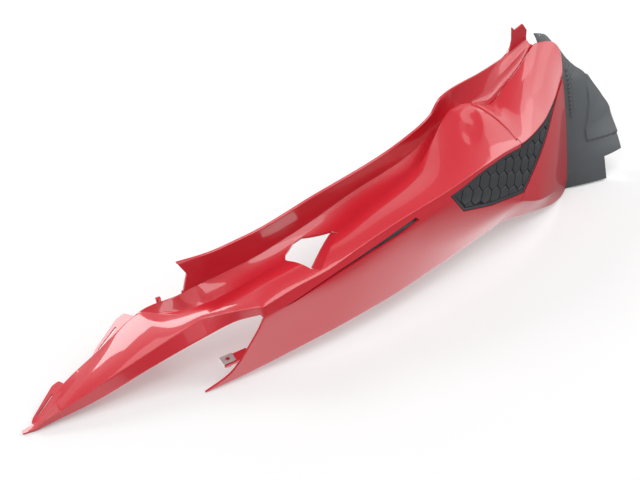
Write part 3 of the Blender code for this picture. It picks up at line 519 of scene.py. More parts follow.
def prism(outline: Outline, axis: Axis, low: float, high: float) -> BMesh:
    """Closed prism over an outline.

    Args:
        outline: Points (x, z) for a prism across, or (x, y) for one that stands up.
        axis: The way it is drawn.
        low: Where it starts, in millimetres.
        high: Where it ends.

    Returns:
        The prism.
    """
    bm = bmesh.new()
    across = axis is Axis.ACROSS
    corners = [Vector((x, low, w) if across else (x, w, low)) for x, w in outline]
    face = bm.faces.new([bm.verts.new(corner * MM) for corner in corners])
    moved = bmesh.ops.extrude_face_region(bm, geom=[face])
    way = Vector((0, 1, 0) if across else (0, 0, 1)) * (high - low) * MM
    bmesh.ops.translate(bm, vec=way, verts=[g for g in moved["geom"] if isinstance(g, bmesh.types.BMVert)])
    bmesh.ops.recalc_face_normals(bm, faces=bm.faces)
    return bm


def rounded(outline: Outline, radius: float, parts: int = 5) -> Points:
    """Outline with its corners rounded.

    Args:
        outline: Corner points in order.
        radius: Corner radius, smaller where the sides are short.
        parts: Segments in each corner.

    Returns:
        The new outline.
    """
    result: Points = []
    for i, corner in enumerate(outline):
        here = Vector(corner)
        before, after = Vector(outline[i - 1]) - here, Vector(outline[(i + 1) % len(outline)]) - here
        turn = before.angle(after)
        reach = min(radius / max(math.tan(turn / 2), 0.05), before.length * 0.45, after.length * 0.45)
        a, b = here + before.normalized() * reach, here + after.normalized() * reach
        for t in steps(0, 1, parts):
            point = a * (1 - t) ** 2 + here * 2 * t * (1 - t) + b * t * t
            result.append((point.x, point.y))
    return result


def offset(outline: Outline, distance: float) -> Points:
    """Outline moved out by a distance, or in where it is negative.

    Args:
        outline: Closed outline.
        distance: How far it moves.

    Returns:
        The new outline, without loops.
    """
    area = sum(a[0] * b[1] - b[0] * a[1] for a, b in zip(outline, outline[1:] + outline[:1]))
    sign = 1 if area > 0 else -1
    moved: Points = []
    for i, p in enumerate(outline):
        before = Vector(p) - Vector(outline[i - 1])
        after = Vector(outline[(i + 1) % len(outline)]) - Vector(p)
        n1 = Vector((before.y, -before.x)).normalized() * sign
        n2 = Vector((after.y, -after.x)).normalized() * sign
        middle = (n1 + n2).normalized()
        point = Vector(p) + middle * distance * min(1 / max(middle.dot(n1), 0.3), 2.0)
        moved.append((point.x, point.y))
    return unlooped(moved)


def inside(x: float, z: float, outline: Outline) -> float:
    """Distance of a point inside an outline, negative outside it.

    Args:
        x: First coordinate of the point.
        z: Second coordinate.
        outline: Closed outline.

    Returns:
        The distance to its nearest side.
    """
    here = Vector((x, z))
    nearest, within = 1e9, False
    for a, b in zip(outline, outline[1:] + outline[:1]):
        pa, pb = Vector(a), Vector(b)
        side = pb - pa
        t = max(0.0, min(1.0, (here - pa).dot(side) / side.length_squared))
        nearest = min(nearest, (here - pa - side * t).length)
        if (a[1] > z) != (b[1] > z) and x < a[0] + (z - a[1]) / (b[1] - a[1]) * (b[0] - a[0]):
            within = not within
    return nearest if within else -nearest


def crossing(a: Vector, b: Vector, c: Vector, d: Vector) -> Vector | None:
    """Where the stretches a to b and c to d cross, if they do.

    Args:
        a: Start of the first.
        b: Its end.
        c: Start of the second.
        d: Its end.

    Returns:
        The crossing, or None.
    """
    first, second, gap = b - a, d - c, c - a
    bottom = first.cross(second)
    if abs(bottom) < 1e-9:
        return None
    t, u = gap.cross(second) / bottom, gap.cross(first) / bottom
    return a + first * t if 0 < t < 1 and 0 < u < 1 else None


def unlooped(outline: Outline) -> Points:
    """Outline without the small loops that moving it in has made.

    Args:
        outline: Closed outline that may cross itself.

    Returns:
        The longer side of each crossing.
    """
    points = [Vector(p) for p in outline]
    i = 0
    while i < len(points):
        n = len(points)
        for j in range(i + 2, n if i else n - 1):
            spot = crossing(points[i], points[i + 1], points[j], points[(j + 1) % n])
            if spot is not None:
                inner, outer = points[i + 1:j + 1], points[j + 1:] + points[:i + 1]
                points = ([spot] + outer) if len(outer) > len(inner) else ([spot] + inner)
                i = -1
                break
        i += 1
        if i + 1 >= len(points):
            break
    return [(p.x, p.y) for p in points]


def bar(centre: Vector, way: Vector, radius: float, reach: float) -> BMesh:
    """Closed round bar, in millimetres.

    Args:
        centre: Its middle.
        way: Direction of its axis.
        radius: Its radius.
        reach: Half its length.

    Returns:
        The bar.
    """
    bm = bmesh.new()
    bmesh.ops.create_cone(
        bm, cap_ends=True, segments=24, radius1=radius * MM, radius2=radius * MM, depth=2 * reach * MM
    )
    turn = Vector((0, 0, 1)).rotation_difference(way).to_matrix().to_4x4()
    bmesh.ops.transform(bm, matrix=turn, verts=bm.verts)
    bmesh.ops.translate(bm, vec=centre * MM, verts=bm.verts)
    return bm


def baked(name: str, bm: BMesh) -> bpy.types.Mesh:
    """Mesh data of a mesh that is used up.

    Args:
        name: Name of the data.
        bm: The mesh.

    Returns:
        The data.
    """
    mesh = bpy.data.meshes.new(name)
    bm.to_mesh(mesh)
    bm.free()
    return mesh


def shown(name: str, data: bpy.types.ID) -> bpy.types.Object:
    """Object with its data, linked to the scene.

    Args:
        name: Name of the object.
        data: Its mesh, lamp or camera.

    Returns:
        The object.
    """
    obj = bpy.data.objects.new(name, data)
    bpy.context.scene.collection.objects.link(obj)
    return obj


def gather(parts: Sequence[BMesh]) -> BMesh:
    """Several meshes as one.

    Args:
        parts: The meshes; they are used up.

    Returns:
        The new mesh.
    """
    whole = bmesh.new()
    for part in parts:
        mesh = baked("part", part)
        whole.from_mesh(mesh)
        bpy.data.meshes.remove(mesh)
    return whole


def carve(bm: BMesh, tool: BMesh, cut: Cut = Cut.AWAY) -> BMesh:
    """Boolean of two closed meshes.

    Args:
        bm: The mesh to work on; it is used up.
        tool: The other mesh; it is used up.
        cut: The operation.

    Returns:
        The result as a new mesh.
    """
    objects = [shown("work", baked("work", source)) for source in (bm, tool)]
    modifier = objects[0].modifiers.new("cut", "BOOLEAN")
    modifier.operation = cut.value
    modifier.solver = "EXACT"
    modifier.object = objects[1]
    graph = bpy.context.evaluated_depsgraph_get()
    graph.update()
    mesh = bpy.data.meshes.new_from_object(objects[0].evaluated_get(graph))
    result = bmesh.new()
    result.from_mesh(mesh)
    for obj in objects:
        data = obj.data
        bpy.data.objects.remove(obj)
        bpy.data.meshes.remove(data)
    bpy.data.meshes.remove(mesh)
    bmesh.ops.remove_doubles(result, verts=result.verts, dist=SLIVER)
    return result


def piece(name: str, bm: BMesh, material: Material, replaced: Sequence[str],
          sharp: float = 40.0) -> bpy.types.Object:
    """Finished piece of the fairing in the frame.

    Args:
        name: Its name.
        bm: Its mesh in the fairing's own measure; it is used up.
        material: Its finish.
        replaced: The CAD nodes that it stands for.
        sharp: Edges that turn by more than this many degrees stay sharp.

    Returns:
        The object.
    """
    bmesh.ops.dissolve_degenerate(bm, edges=bm.edges, dist=SLIVER)
    bmesh.ops.translate(bm, vec=Lay().shift(), verts=bm.verts)
    mesh = baked(name, bm)
    mesh.shade_smooth()
    mesh.set_sharp_from_angle(angle=math.radians(sharp))
    mesh.materials.append(material)
    obj = shown(name, mesh)
    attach(obj, BODY)
    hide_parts(*replaced)
    LOG.info("%s: %d faces", name, len(mesh.polygons))
    return obj


@dataclass
class Seams:
    """Where the red panels and the insert meet, in side view or from above."""

    insert_bottom: Outline = (
        (527, 129), (549, 101), (603, 87), (673, 77), (694, 91), (716, 108), (734, 123), (782, 161),
        (810, 174),
    )
    tip_drop: float = 7
    top_drop: float = 4.5
    deck_inner: float = 657
    deck_outer: float = 668
    skirt: Outline = ((633, 20), (637, 38), (651, 53), (673, 77))

    def top_curve(self) -> Points:
        """Top of the insert's opening, from the tail to the tip.

        Returns:
            Points in side view.
        """
        points = []
        for x in steps(808, 534, 60):
            drop = self.top_drop + (self.tip_drop - self.top_drop) * (1 - fade(x, 540, 600))
            points.append((x, SKIN.ridge.point(x).z - drop))
        return points

    def bottom_curve(self) -> Points:
        """Bottom of the insert's opening, from the tip to the tail.

        Returns:
            Points in side view.
        """
        low = Curve([p for p in self.insert_bottom if p[0] >= 673])
        fine = [(x, low.at(x)[0]) for x in steps(673, 810, 30)]
        return rounded(self.insert_bottom[:4], 5)[6:-6] + fine

    def insert(self) -> Points:
        """Closed outline of the insert's opening."""
        return [self.insert_bottom[0]] + self.bottom_curve() + self.top_curve()

    def deck_seam_x(self, y: float) -> float:
        """Place of the deck's seam at a distance across."""
        inner = SKIN.shoulder.point(self.deck_inner).y
        return self.deck_inner + (inner - y) / (inner + 5) * (self.deck_outer - self.deck_inner)


SEAMS = Seams()


@dataclass
class SidePanel:
    """Front arm, rail, channel, deck, ridge and skirt: one red moulding."""

    wall_steps: int = 10
    trough_steps: int = 10
    deck_steps: int = 30
    skirt_levels: tuple[int, int, int] = (12, 12, 10)
    stations: int = 250
    arm_stations: int = 70
    arm_side_steps: int = 9
    rail_share: float = 0.82
    arm_start: float = 38
    nose_wall: float = 0.5
    window: Outline = (
        (319, 7), (324, 16), (341, 27), (354, 29), (388, 17), (390, 4), (340, -38), (331, -30),
    )
    window_top: Outline = ((392, 2), (339, -41))
    window_foot: Outline = ((392, 22), (339, -17))
    window_drop: float = 10
    slit_top: Outline = (
        (284, 78), (348, 92.6), (401, 107.5), (440, 117), (470, 123),
    )
    slit_bottom: Outline = (
        (475, 119), (449, 112), (428, 108), (401, 103), (348, 90), (300, 79.8),
    )
    tabs: tuple[Outline, ...] = (
        [(8, 5), (12, 13), (40, 35), (48, 35), (54, 22), (24, 2)],
        [(86, 34), (96, 44), (128, 65), (138, 65), (147, 49), (110, 34)],
    )
    slots: tuple[Outline, ...] = (
        [(17, 9.5), (16, 12), (37, 25), (38, 22.5)],
        [(98, 38), (97, 41), (123, 55), (124, 52)],
    )
    tab_thick: float = 2.4
    tongue: tuple[tuple[float, ...], ...] = ((-2, -1.5, 2.5, 2.4), (10, -3.5, 4.5, 3.2))
    nose_stations: tuple[float, ...] = (15, 24, 36, 46)
    prong: Outline = (
        (722, 194), (739, 202), (748, 207), (754, 215), (756, 225), (754, 242.5), (759.5, 237.5),
        (774.5, 243.4), (783, 234), (784, 212), (770, 204), (745, 190),
    )
    prong_lean: float = 0.12
    rail_notch: Outline = (
        (190, 121), (198.6, 121), (208, 101), (200.5, 80), (190, 80),
    )
    lug: Outline = (
        (209, -52), (209, -38.5), (240, -38.5), (240, -50), (230, -52),
    )
    lug_z: float = 27
    lug_thick: float = 2.5
    lip_width: float = 3.6
    lip_height: float = 1.8

    @cached_property
    def spans(self) -> dict[float, Pair]:
        """Where each level of the skirt starts and ends."""
        levels = side_levels(*self.skirt_levels)
        return {v: (SKIN.edge_x(SKIN.skirt_front, v, SKIN.ridge_start), SKIN.tail_x(v)) for v in levels}

    def body_row(self, s: float) -> list[Vector]:
        """Section of the body from rail to skirt.

        Args:
            s: 0 at the front and 1 at the tail.

        Returns:
            Its points.
        """
        rail_x = SKIN.rail_start + s * (SKIN.rail_end - SKIN.rail_start)
        shoulder_x = SKIN.shoulder_start + s * (SKIN.shoulder_end - SKIN.shoulder_start)
        ridge_x = SKIN.ridge_start + s * (SKIN.ridge_end - SKIN.ridge_start)
        row = [SKIN.wall_point(rail_x, f) for f in steps(0, 1, self.wall_steps)]
        trough, deck = steps(0, 1, self.trough_steps)[1:-1], steps(0, 1, self.deck_steps)[:-1]
        row += [SKIN.trough_point(rail_x + f * (shoulder_x - rail_x), f) for f in trough]
        row += [SKIN.scooped(SKIN.deck_point(shoulder_x + f * (ridge_x - shoulder_x), f)) for f in deck]
        for level, (start, end) in self.spans.items():
            x = start + s * (end - start)
            row.append(SKIN.side_point(x, SKIN.skirt_height(x, level)))
        return row

    def arm_row(self, a: float, root: list[Vector]) -> list[Vector]:
        """Section of the arm from its flange to its lower edge.

        Args:
            a: 0 at the nose and 1 at the root.
            root: The body's first section, which the arm ends on.

        Returns:
            Its points, with the cells that the arm lacks folded flat.
        """
        foot, shoulder = self.wall_steps, self.wall_steps + self.trough_steps
        crest = shoulder + self.deck_steps

        def along(column: int) -> float:
            """Place at this section between the nose and a point of the root."""
            return self.arm_start + a * (root[column].x - self.arm_start)

        foot_x, shoulder_x, crest_x, edge_x = (along(c) for c in (foot, shoulder, crest, crest + 2))
        trough, deck = steps(0, 1, self.trough_steps)[1:-1], steps(0, 1, self.deck_steps)[:-1]
        row = [SKIN.trough_point(foot_x, 0)] * (foot + 1)
        row += [SKIN.trough_point(foot_x + f * (shoulder_x - foot_x), f) for f in trough]
        row += [SKIN.deck_point(shoulder_x + f * (crest_x - shoulder_x), f) for f in deck]
        top, edge = SKIN.crest.point(crest_x), SKIN.arm_edge.point(edge_x)
        row += [top.lerp(edge, t) for t in steps(0, 1, self.arm_side_steps)]
        row += [edge] * (len(root) - len(row))
        return row

    def sheet(self) -> BMesh:
        """Closed wall of arm and body before its openings are cut.

        Returns:
            The wall.
        """
        shares = steps(0, 1, self.stations)
        body = [self.body_row(s) for s in shares]
        arm = [self.arm_row(a, body[0]) for a in steps(0, 1, self.arm_stations)[:-1]]
        first = len(arm)
        foot, shoulder = self.wall_steps, self.wall_steps + self.trough_steps
        edge = shoulder + self.deck_steps + self.arm_side_steps

        def keep(i: int, j: int) -> bool:
            """Cells that the panel has."""
            if i < first:
                return foot <= j < edge
            return j < shoulder or shares[i - first] <= self.rail_share

        def depth(point: Vector) -> float:
            """Wall thickness, less towards the solid nose."""
            return SKIN.wall * (self.nose_wall + (1 - self.nose_wall) * fade(point.x, self.arm_start, 75))

        return walled(surface(arm + body, keep), depth, crease=2.0)

    def rear_outline(self) -> Points:
        """Side view of all that lies behind the skirt's seam.

        Returns:
            Closed outline.
        """
        seam_x = SEAMS.deck_outer + 1.5
        top = [p for p in SEAMS.top_curve() if p[0] < seam_x]
        front = [p for p in SEAMS.bottom_curve() if p[0] < SEAMS.skirt[-1][0]]
        tail = [(seam_x, 220), (850, 220), (850, -30), (SEAMS.skirt[0][0], -30)]
        start = (seam_x, SKIN.ridge.point(seam_x).z - SEAMS.top_drop)
        return [*tail, *SEAMS.skirt, *front[::-1], SEAMS.insert_bottom[0], *top[::-1], start]

    def deck_end(self) -> Points:
        """From above, all that lies behind the deck's seam."""
        inner = [(x, SKIN.shoulder.point(x).y - 0.2) for x in steps(SEAMS.deck_inner, 800, 24)]
        return inner + [(800, -60), (SEAMS.deck_outer, -60), (SEAMS.deck_outer, -5)]

    def window_wall(self) -> BMesh:
        """Sloped wall on the window's outer side.

        Returns:
            The wall.
        """
        rows = []
        for t in steps(0, 1, 24):
            top = Vector(self.window_top[0]).lerp(Vector(self.window_top[1]), t)
            foot = Vector(self.window_foot[0]).lerp(Vector(self.window_foot[1]), t)
            height = SKIN.deck_point(top.x, SKIN.deck_at(top.x, top.y)).z - 0.4
            a, b = Vector((top.x, top.y, height)), Vector((foot.x, foot.y, height - self.window_drop))
            rows.append([a.lerp(b, u) for u in steps(0, 1, 6)])
        bm = surface(rows)
        if sum(f.normal.z for f in bm.faces) < 0:
            bmesh.ops.reverse_faces(bm, faces=bm.faces)
        return walled(bm, lambda _: SKIN.wall, 0.3)

    def seam_lip(self) -> BMesh:
        """Raised lip along the deck's rear edge.

        Returns:
            The lip.
        """
        rows = []
        for back in steps(self.lip_width, 0.25, 6):
            row = []
            for f in steps(0.04, 0.93, 40):
                x = SEAMS.deck_inner + f * (SEAMS.deck_outer - SEAMS.deck_inner) - back
                lift = self.lip_height * fade(self.lip_width - back, -0.6, 1.6)
                row.append(SKIN.deck_point(x, f) + SKIN.deck_normal(x, f) * lift)
            rows.append(row)
        return walled(surface(rows), lambda _: self.lip_height + SKIN.wall * 0.5, 0.3)

    def plate(self, outline: Outline) -> BMesh:
        """Slotted tab that carries on the arm's flange.

        Args:
            outline: The tab from above.

        Returns:
            The tab, bent to the flange.
        """
        bm = prism(rounded(outline, 4), Axis.UP, 0, self.tab_thick)
        for vert in bm.verts:
            x = vert.co.x / MM
            level = SKIN.foot.point(x).z - SKIN.flange_step * fade(x, *SKIN.flange_run) - 0.3
            vert.co.z += (max(level, self.tab_thick + 0.6) - self.tab_thick) * MM
        return bm

    def slot(self, k: int) -> BMesh:
        """Tool for the slot of a tab."""
        return prism(rounded(self.slots[k], 1), Axis.UP, -20, 80)

    def nose_ring(self, x: float) -> list[Vector]:
        """Section of the solid nose.

        Args:
            x: Place along the fairing.

        Returns:
            Its corners, in order round the section.
        """
        foot = SKIN.trough_point(x, 0)
        shoulder, crest, edge = (line.point(x) for line in (SKIN.shoulder, SKIN.crest, SKIN.arm_edge))
        under = Vector((x, foot.y - 1, max(foot.z - SKIN.wall, 0.3)))
        ring = [under, foot, SKIN.trough_point(x, 0.85), shoulder, crest, edge]
        middle = sum(ring, Vector()) / len(ring)
        inset = 0.35 if x > self.arm_start - 6 else 0.0
        return [p + (middle - p).normalized() * inset for p in ring]

    def nose(self) -> BMesh:
        """Solid nose with the locating tongue.

        Returns:
            The nose.
        """
        bm = bmesh.new()
        rings = []
        for x, near, far, thick in self.tongue:
            spots = ((far, 0), (far, thick), (far * 0.5, thick), (0, thick), (near, thick), (near, 0))
            rings.append([Vector((x, y, z)) for y, z in spots])
        rings += [self.nose_ring(x) for x in self.nose_stations]
        loops = []
        for ring in rings:
            verts = [bm.verts.new(p * MM) for p in ring]
            loops.append([bm.edges.new((a, b)) for a, b in zip(verts, verts[1:] + verts[:1])])
        for a, b in zip(loops, loops[1:]):
            bmesh.ops.bridge_loops(bm, edges=a + b)
        bmesh.ops.holes_fill(bm, edges=loops[0] + loops[-1], sides=8)
        bmesh.ops.recalc_face_normals(bm, faces=bm.faces)
        return bm

    def rail_prong(self) -> BMesh:
        """Forked prong that ends the rail.

        Returns:
            The prong.
        """
        bm = prism(self.prong, Axis.ACROSS, 0, SKIN.wall)
        for vert in bm.verts:
            x, z = vert.co.x / MM, vert.co.z / MM
            top = SKIN.rail_top.point(x)
            vert.co.y += (top.y + self.prong_lean * (z - top.z)) * MM
        return bm

    def hook(self) -> BMesh:
        """Small locating hook on the channel's front edge."""
        z = SKIN.trough_point(172, 0.2).z - SKIN.wall
        return prism(rounded([(172, 45), (178, 45), (178, 50), (172, 50)], 1.2), Axis.UP, z - 1, z + 6)

    def build(self, material: Material) -> bpy.types.Object:
        """Builds the panel.

        Args:
            material: Its finish.

        Returns:
            The finished piece.
        """
        bm = self.sheet()
        bm = carve(bm, prism(rounded(self.window, 3), Axis.UP, 60, 130))
        bm = carve(bm, prism(self.slit_top + self.slit_bottom, Axis.ACROSS, -80, -20))
        bm = carve(bm, prism(self.rear_outline(), Axis.ACROSS, -90, 25))
        bm = carve(bm, prism(self.deck_end(), Axis.UP, 120, 230))
        bm = carve(bm, prism(self.rail_notch, Axis.ACROSS, 15, 60))
        bm = carve(bm, gather([self.slot(k) for k in (0, 1)]))
        tabs = [carve(self.plate(outline), self.slot(k)) for k, outline in enumerate(self.tabs)]
        nose = carve(self.nose(), self.slot(0))
        lug = prism(self.lug, Axis.UP, self.lug_z, self.lug_z + self.lug_thick)
        parts = [bm, nose, *tabs, self.window_wall(), self.rail_prong(), lug, self.hook(), self.seam_lip()]
        return piece("side_panel_skin", gather(parts), material, ["side_panel"])


@dataclass
class UpperTailPanel:
    """Red panel behind the deck's seam."""

    lip: float = 2.2

    def build(self, material: Material) -> bpy.types.Object:
        """Builds the panel.

        Args:
            material: Its finish.

        Returns:
            The finished piece.
        """
        rows = []
        for s in steps(0, 1, 80):
            row = []
            for f in steps(0.02, 1.0, 48):
                start = SEAMS.deck_inner + f * (SEAMS.deck_outer - SEAMS.deck_inner)
                for _ in range(4):
                    start = SEAMS.deck_seam_x(SKIN.deck_point(start, f).y) + SKIN.joint_gap
                row.append(SKIN.deck_point(start + s * (SKIN.deck_tail(f) - start), f))
            last = row[-1]
            row += [SKIN.side_point(last.x, last.z - self.lip * t) for t in (0.5, 1.0)]
            rows.append(row)
        bm = walled(surface(rows), lambda _: SKIN.wall, 0.8)
        return piece("upper_tail_skin", bm, material, ["upper_tail_panel"])


@dataclass
class LowerTailPanel:
    """Red corner panel below and behind the insert."""

    skirt_levels: tuple[int, int, int] = (16, 24, 16)

    def outline(self) -> Points:
        """Side view of the panel's front and upper edges.

        Returns:
            Closed outline.
        """
        gap, corner = SKIN.joint_gap, SEAMS.skirt[-1][0] + 0.5
        seam = [(x + gap, z - 0.2) for x, z in SEAMS.skirt]
        edge = [(x + gap * 0.6, z - gap * 0.8) for x, z in SEAMS.bottom_curve() if x > corner]
        return seam + edge + [(850, 182), (850, -30), (SEAMS.skirt[0][0] + gap, -30)]

    def build(self, material: Material) -> bpy.types.Object:
        """Builds the panel.

        Args:
            material: Its finish.

        Returns:
            The finished piece.
        """
        start = SEAMS.skirt[0][0] - 4
        levels = side_levels(*self.skirt_levels)
        ends = {v: SKIN.tail_x(v) for v in levels}
        rows = []
        for s in steps(0, 1, 90):
            places = [(start + s * (ends[v] - start), v) for v in levels]
            rows.append([SKIN.side_point(x, SKIN.skirt_height(x, v)) for x, v in places])
        bm = walled(surface(rows), lambda _: SKIN.wall, 0.8, 0.8)
        bm = carve(bm, prism(self.outline(), Axis.ACROSS, -80, 120), Cut.COMMON)
        return piece("lower_tail_skin", bm, material, ["lower_tail_panel"])


@dataclass
class HoneycombInsert:
    """Black insert with raised hexagonal pads."""

    rim: float = 3.4
    flange: float = 6
    pad_depth: float = 1.3
    pad_width: float = 19.8
    pad_height: float = 24.6
    pad_edge: float = 1.1
    groove: float = 1.3
    turn: float = 20.5
    first: Pair = (575, 111.5)
    pad_rows: range = range(-2, 7)
    pad_columns: range = range(-3, 11)

    def patch(self, depth: float, reach: float) -> BMesh:
        """Wall that follows the side face between two depths below it.

        Args:
            depth: Where the wall starts.
            reach: Where it ends.

        Returns:
            The wall.
        """
        rows = []
        for x in steps(500, 824, 110):
            rows.append([SKIN.side_point(x, z) - SKIN.side_normal(x, z) * depth for z in steps(190, 64, 44)])
        return walled(surface(rows), lambda _: reach - depth, 0)

    def pad(self, x: float, z: float) -> BMesh:
        """One raised cell, with soft edges, shaped to the side face.

        Args:
            x: Place of the cell in the untilted field.
            z: Its height there.

        Returns:
            The cell.
        """
        bm = bmesh.new()
        bmesh.ops.create_cone(bm, cap_ends=True, segments=6, radius1=1.0, radius2=1.0, depth=1.0)
        wide = (self.pad_width - self.groove) / math.sqrt(3)
        tall = (self.pad_height - self.groove * 1.15) / 2
        bmesh.ops.rotate(bm, matrix=Matrix.Rotation(math.radians(90), 3, "X"), verts=bm.verts)
        high = SKIN.trim_depth - self.pad_depth + 1.0
        bmesh.ops.scale(bm, vec=Vector((wide, high, tall)) * MM, verts=bm.verts)
        bmesh.ops.translate(bm, vec=Vector((x, self.pad_depth + high / 2, z)) * MM, verts=bm.verts)
        lean = Matrix.Rotation(math.radians(self.turn), 3, "Y")
        bmesh.ops.rotate(bm, matrix=lean, verts=bm.verts)
        bmesh.ops.translate(bm, vec=Vector((self.first[0], 0, self.first[1])) * MM, verts=bm.verts)
        front = [e for e in bm.edges if all(v.co.y < (self.pad_depth + 0.1) * MM for v in e.verts)]
        soften(bm, front, self.pad_edge, 3)
        for vert in bm.verts:
            vert.co.y += SKIN.side_y(vert.co.x / MM, vert.co.z / MM) * MM
        return bm

    def reached(self, x: float, z: float, opening: Outline) -> bool:
        """Tells whether a cell's centre lies in or near the opening.

        Args:
            x: Place of the cell in the untilted field.
            z: Its height there.
            opening: The insert's opening.

        Returns:
            Whether the cell is made.
        """
        turn = Matrix.Rotation(math.radians(-self.turn), 2)
        centre = Vector(self.first) + turn @ Vector((x, z))
        near = min((Vector(p) - centre).length for p in opening)
        return near < self.pad_height or inside(centre.x, centre.y, opening) > 0

    def build(self, material: Material) -> bpy.types.Object:
        """Builds the insert.

        Args:
            material: Its finish.

        Returns:
            The finished piece.
        """
        opening = SEAMS.insert()
        wide = offset(opening, self.flange)
        back = [(x, min(z, SKIN.ridge.point(x).z - SEAMS.top_drop - 0.6)) for x, z in wide]
        sheet = carve(self.patch(SKIN.trim_depth, SKIN.trim_depth + SKIN.trim_wall),
                      prism(back, Axis.ACROSS, -80, 120), Cut.COMMON)
        rim = carve(self.patch(self.pad_depth * 0.5, SKIN.trim_depth + 1.0),
                    prism(offset(opening, -SKIN.joint_gap), Axis.ACROSS, -80, 120), Cut.COMMON)
        inner = offset(opening, -SKIN.joint_gap - self.rim)
        rim = carve(rim, prism(inner, Axis.ACROSS, -90, 130))
        pads = []
        for r in self.pad_rows:
            for c in self.pad_columns:
                x, z = (c + 0.5 * (r % 2)) * self.pad_width, r * self.pad_height * 0.75
                if self.reached(x, z, opening):
                    pads.append(self.pad(x, z))
        field_outline = offset(opening, -SKIN.joint_gap - self.rim - self.groove * 0.6)
        pads_bm = carve(gather(pads), prism(field_outline, Axis.ACROSS, -90, 130), Cut.COMMON)
        bm = gather([sheet, rim, pads_bm])
        return piece("honeycomb_skin", bm, material, ["honeycomb_insert"], 35)


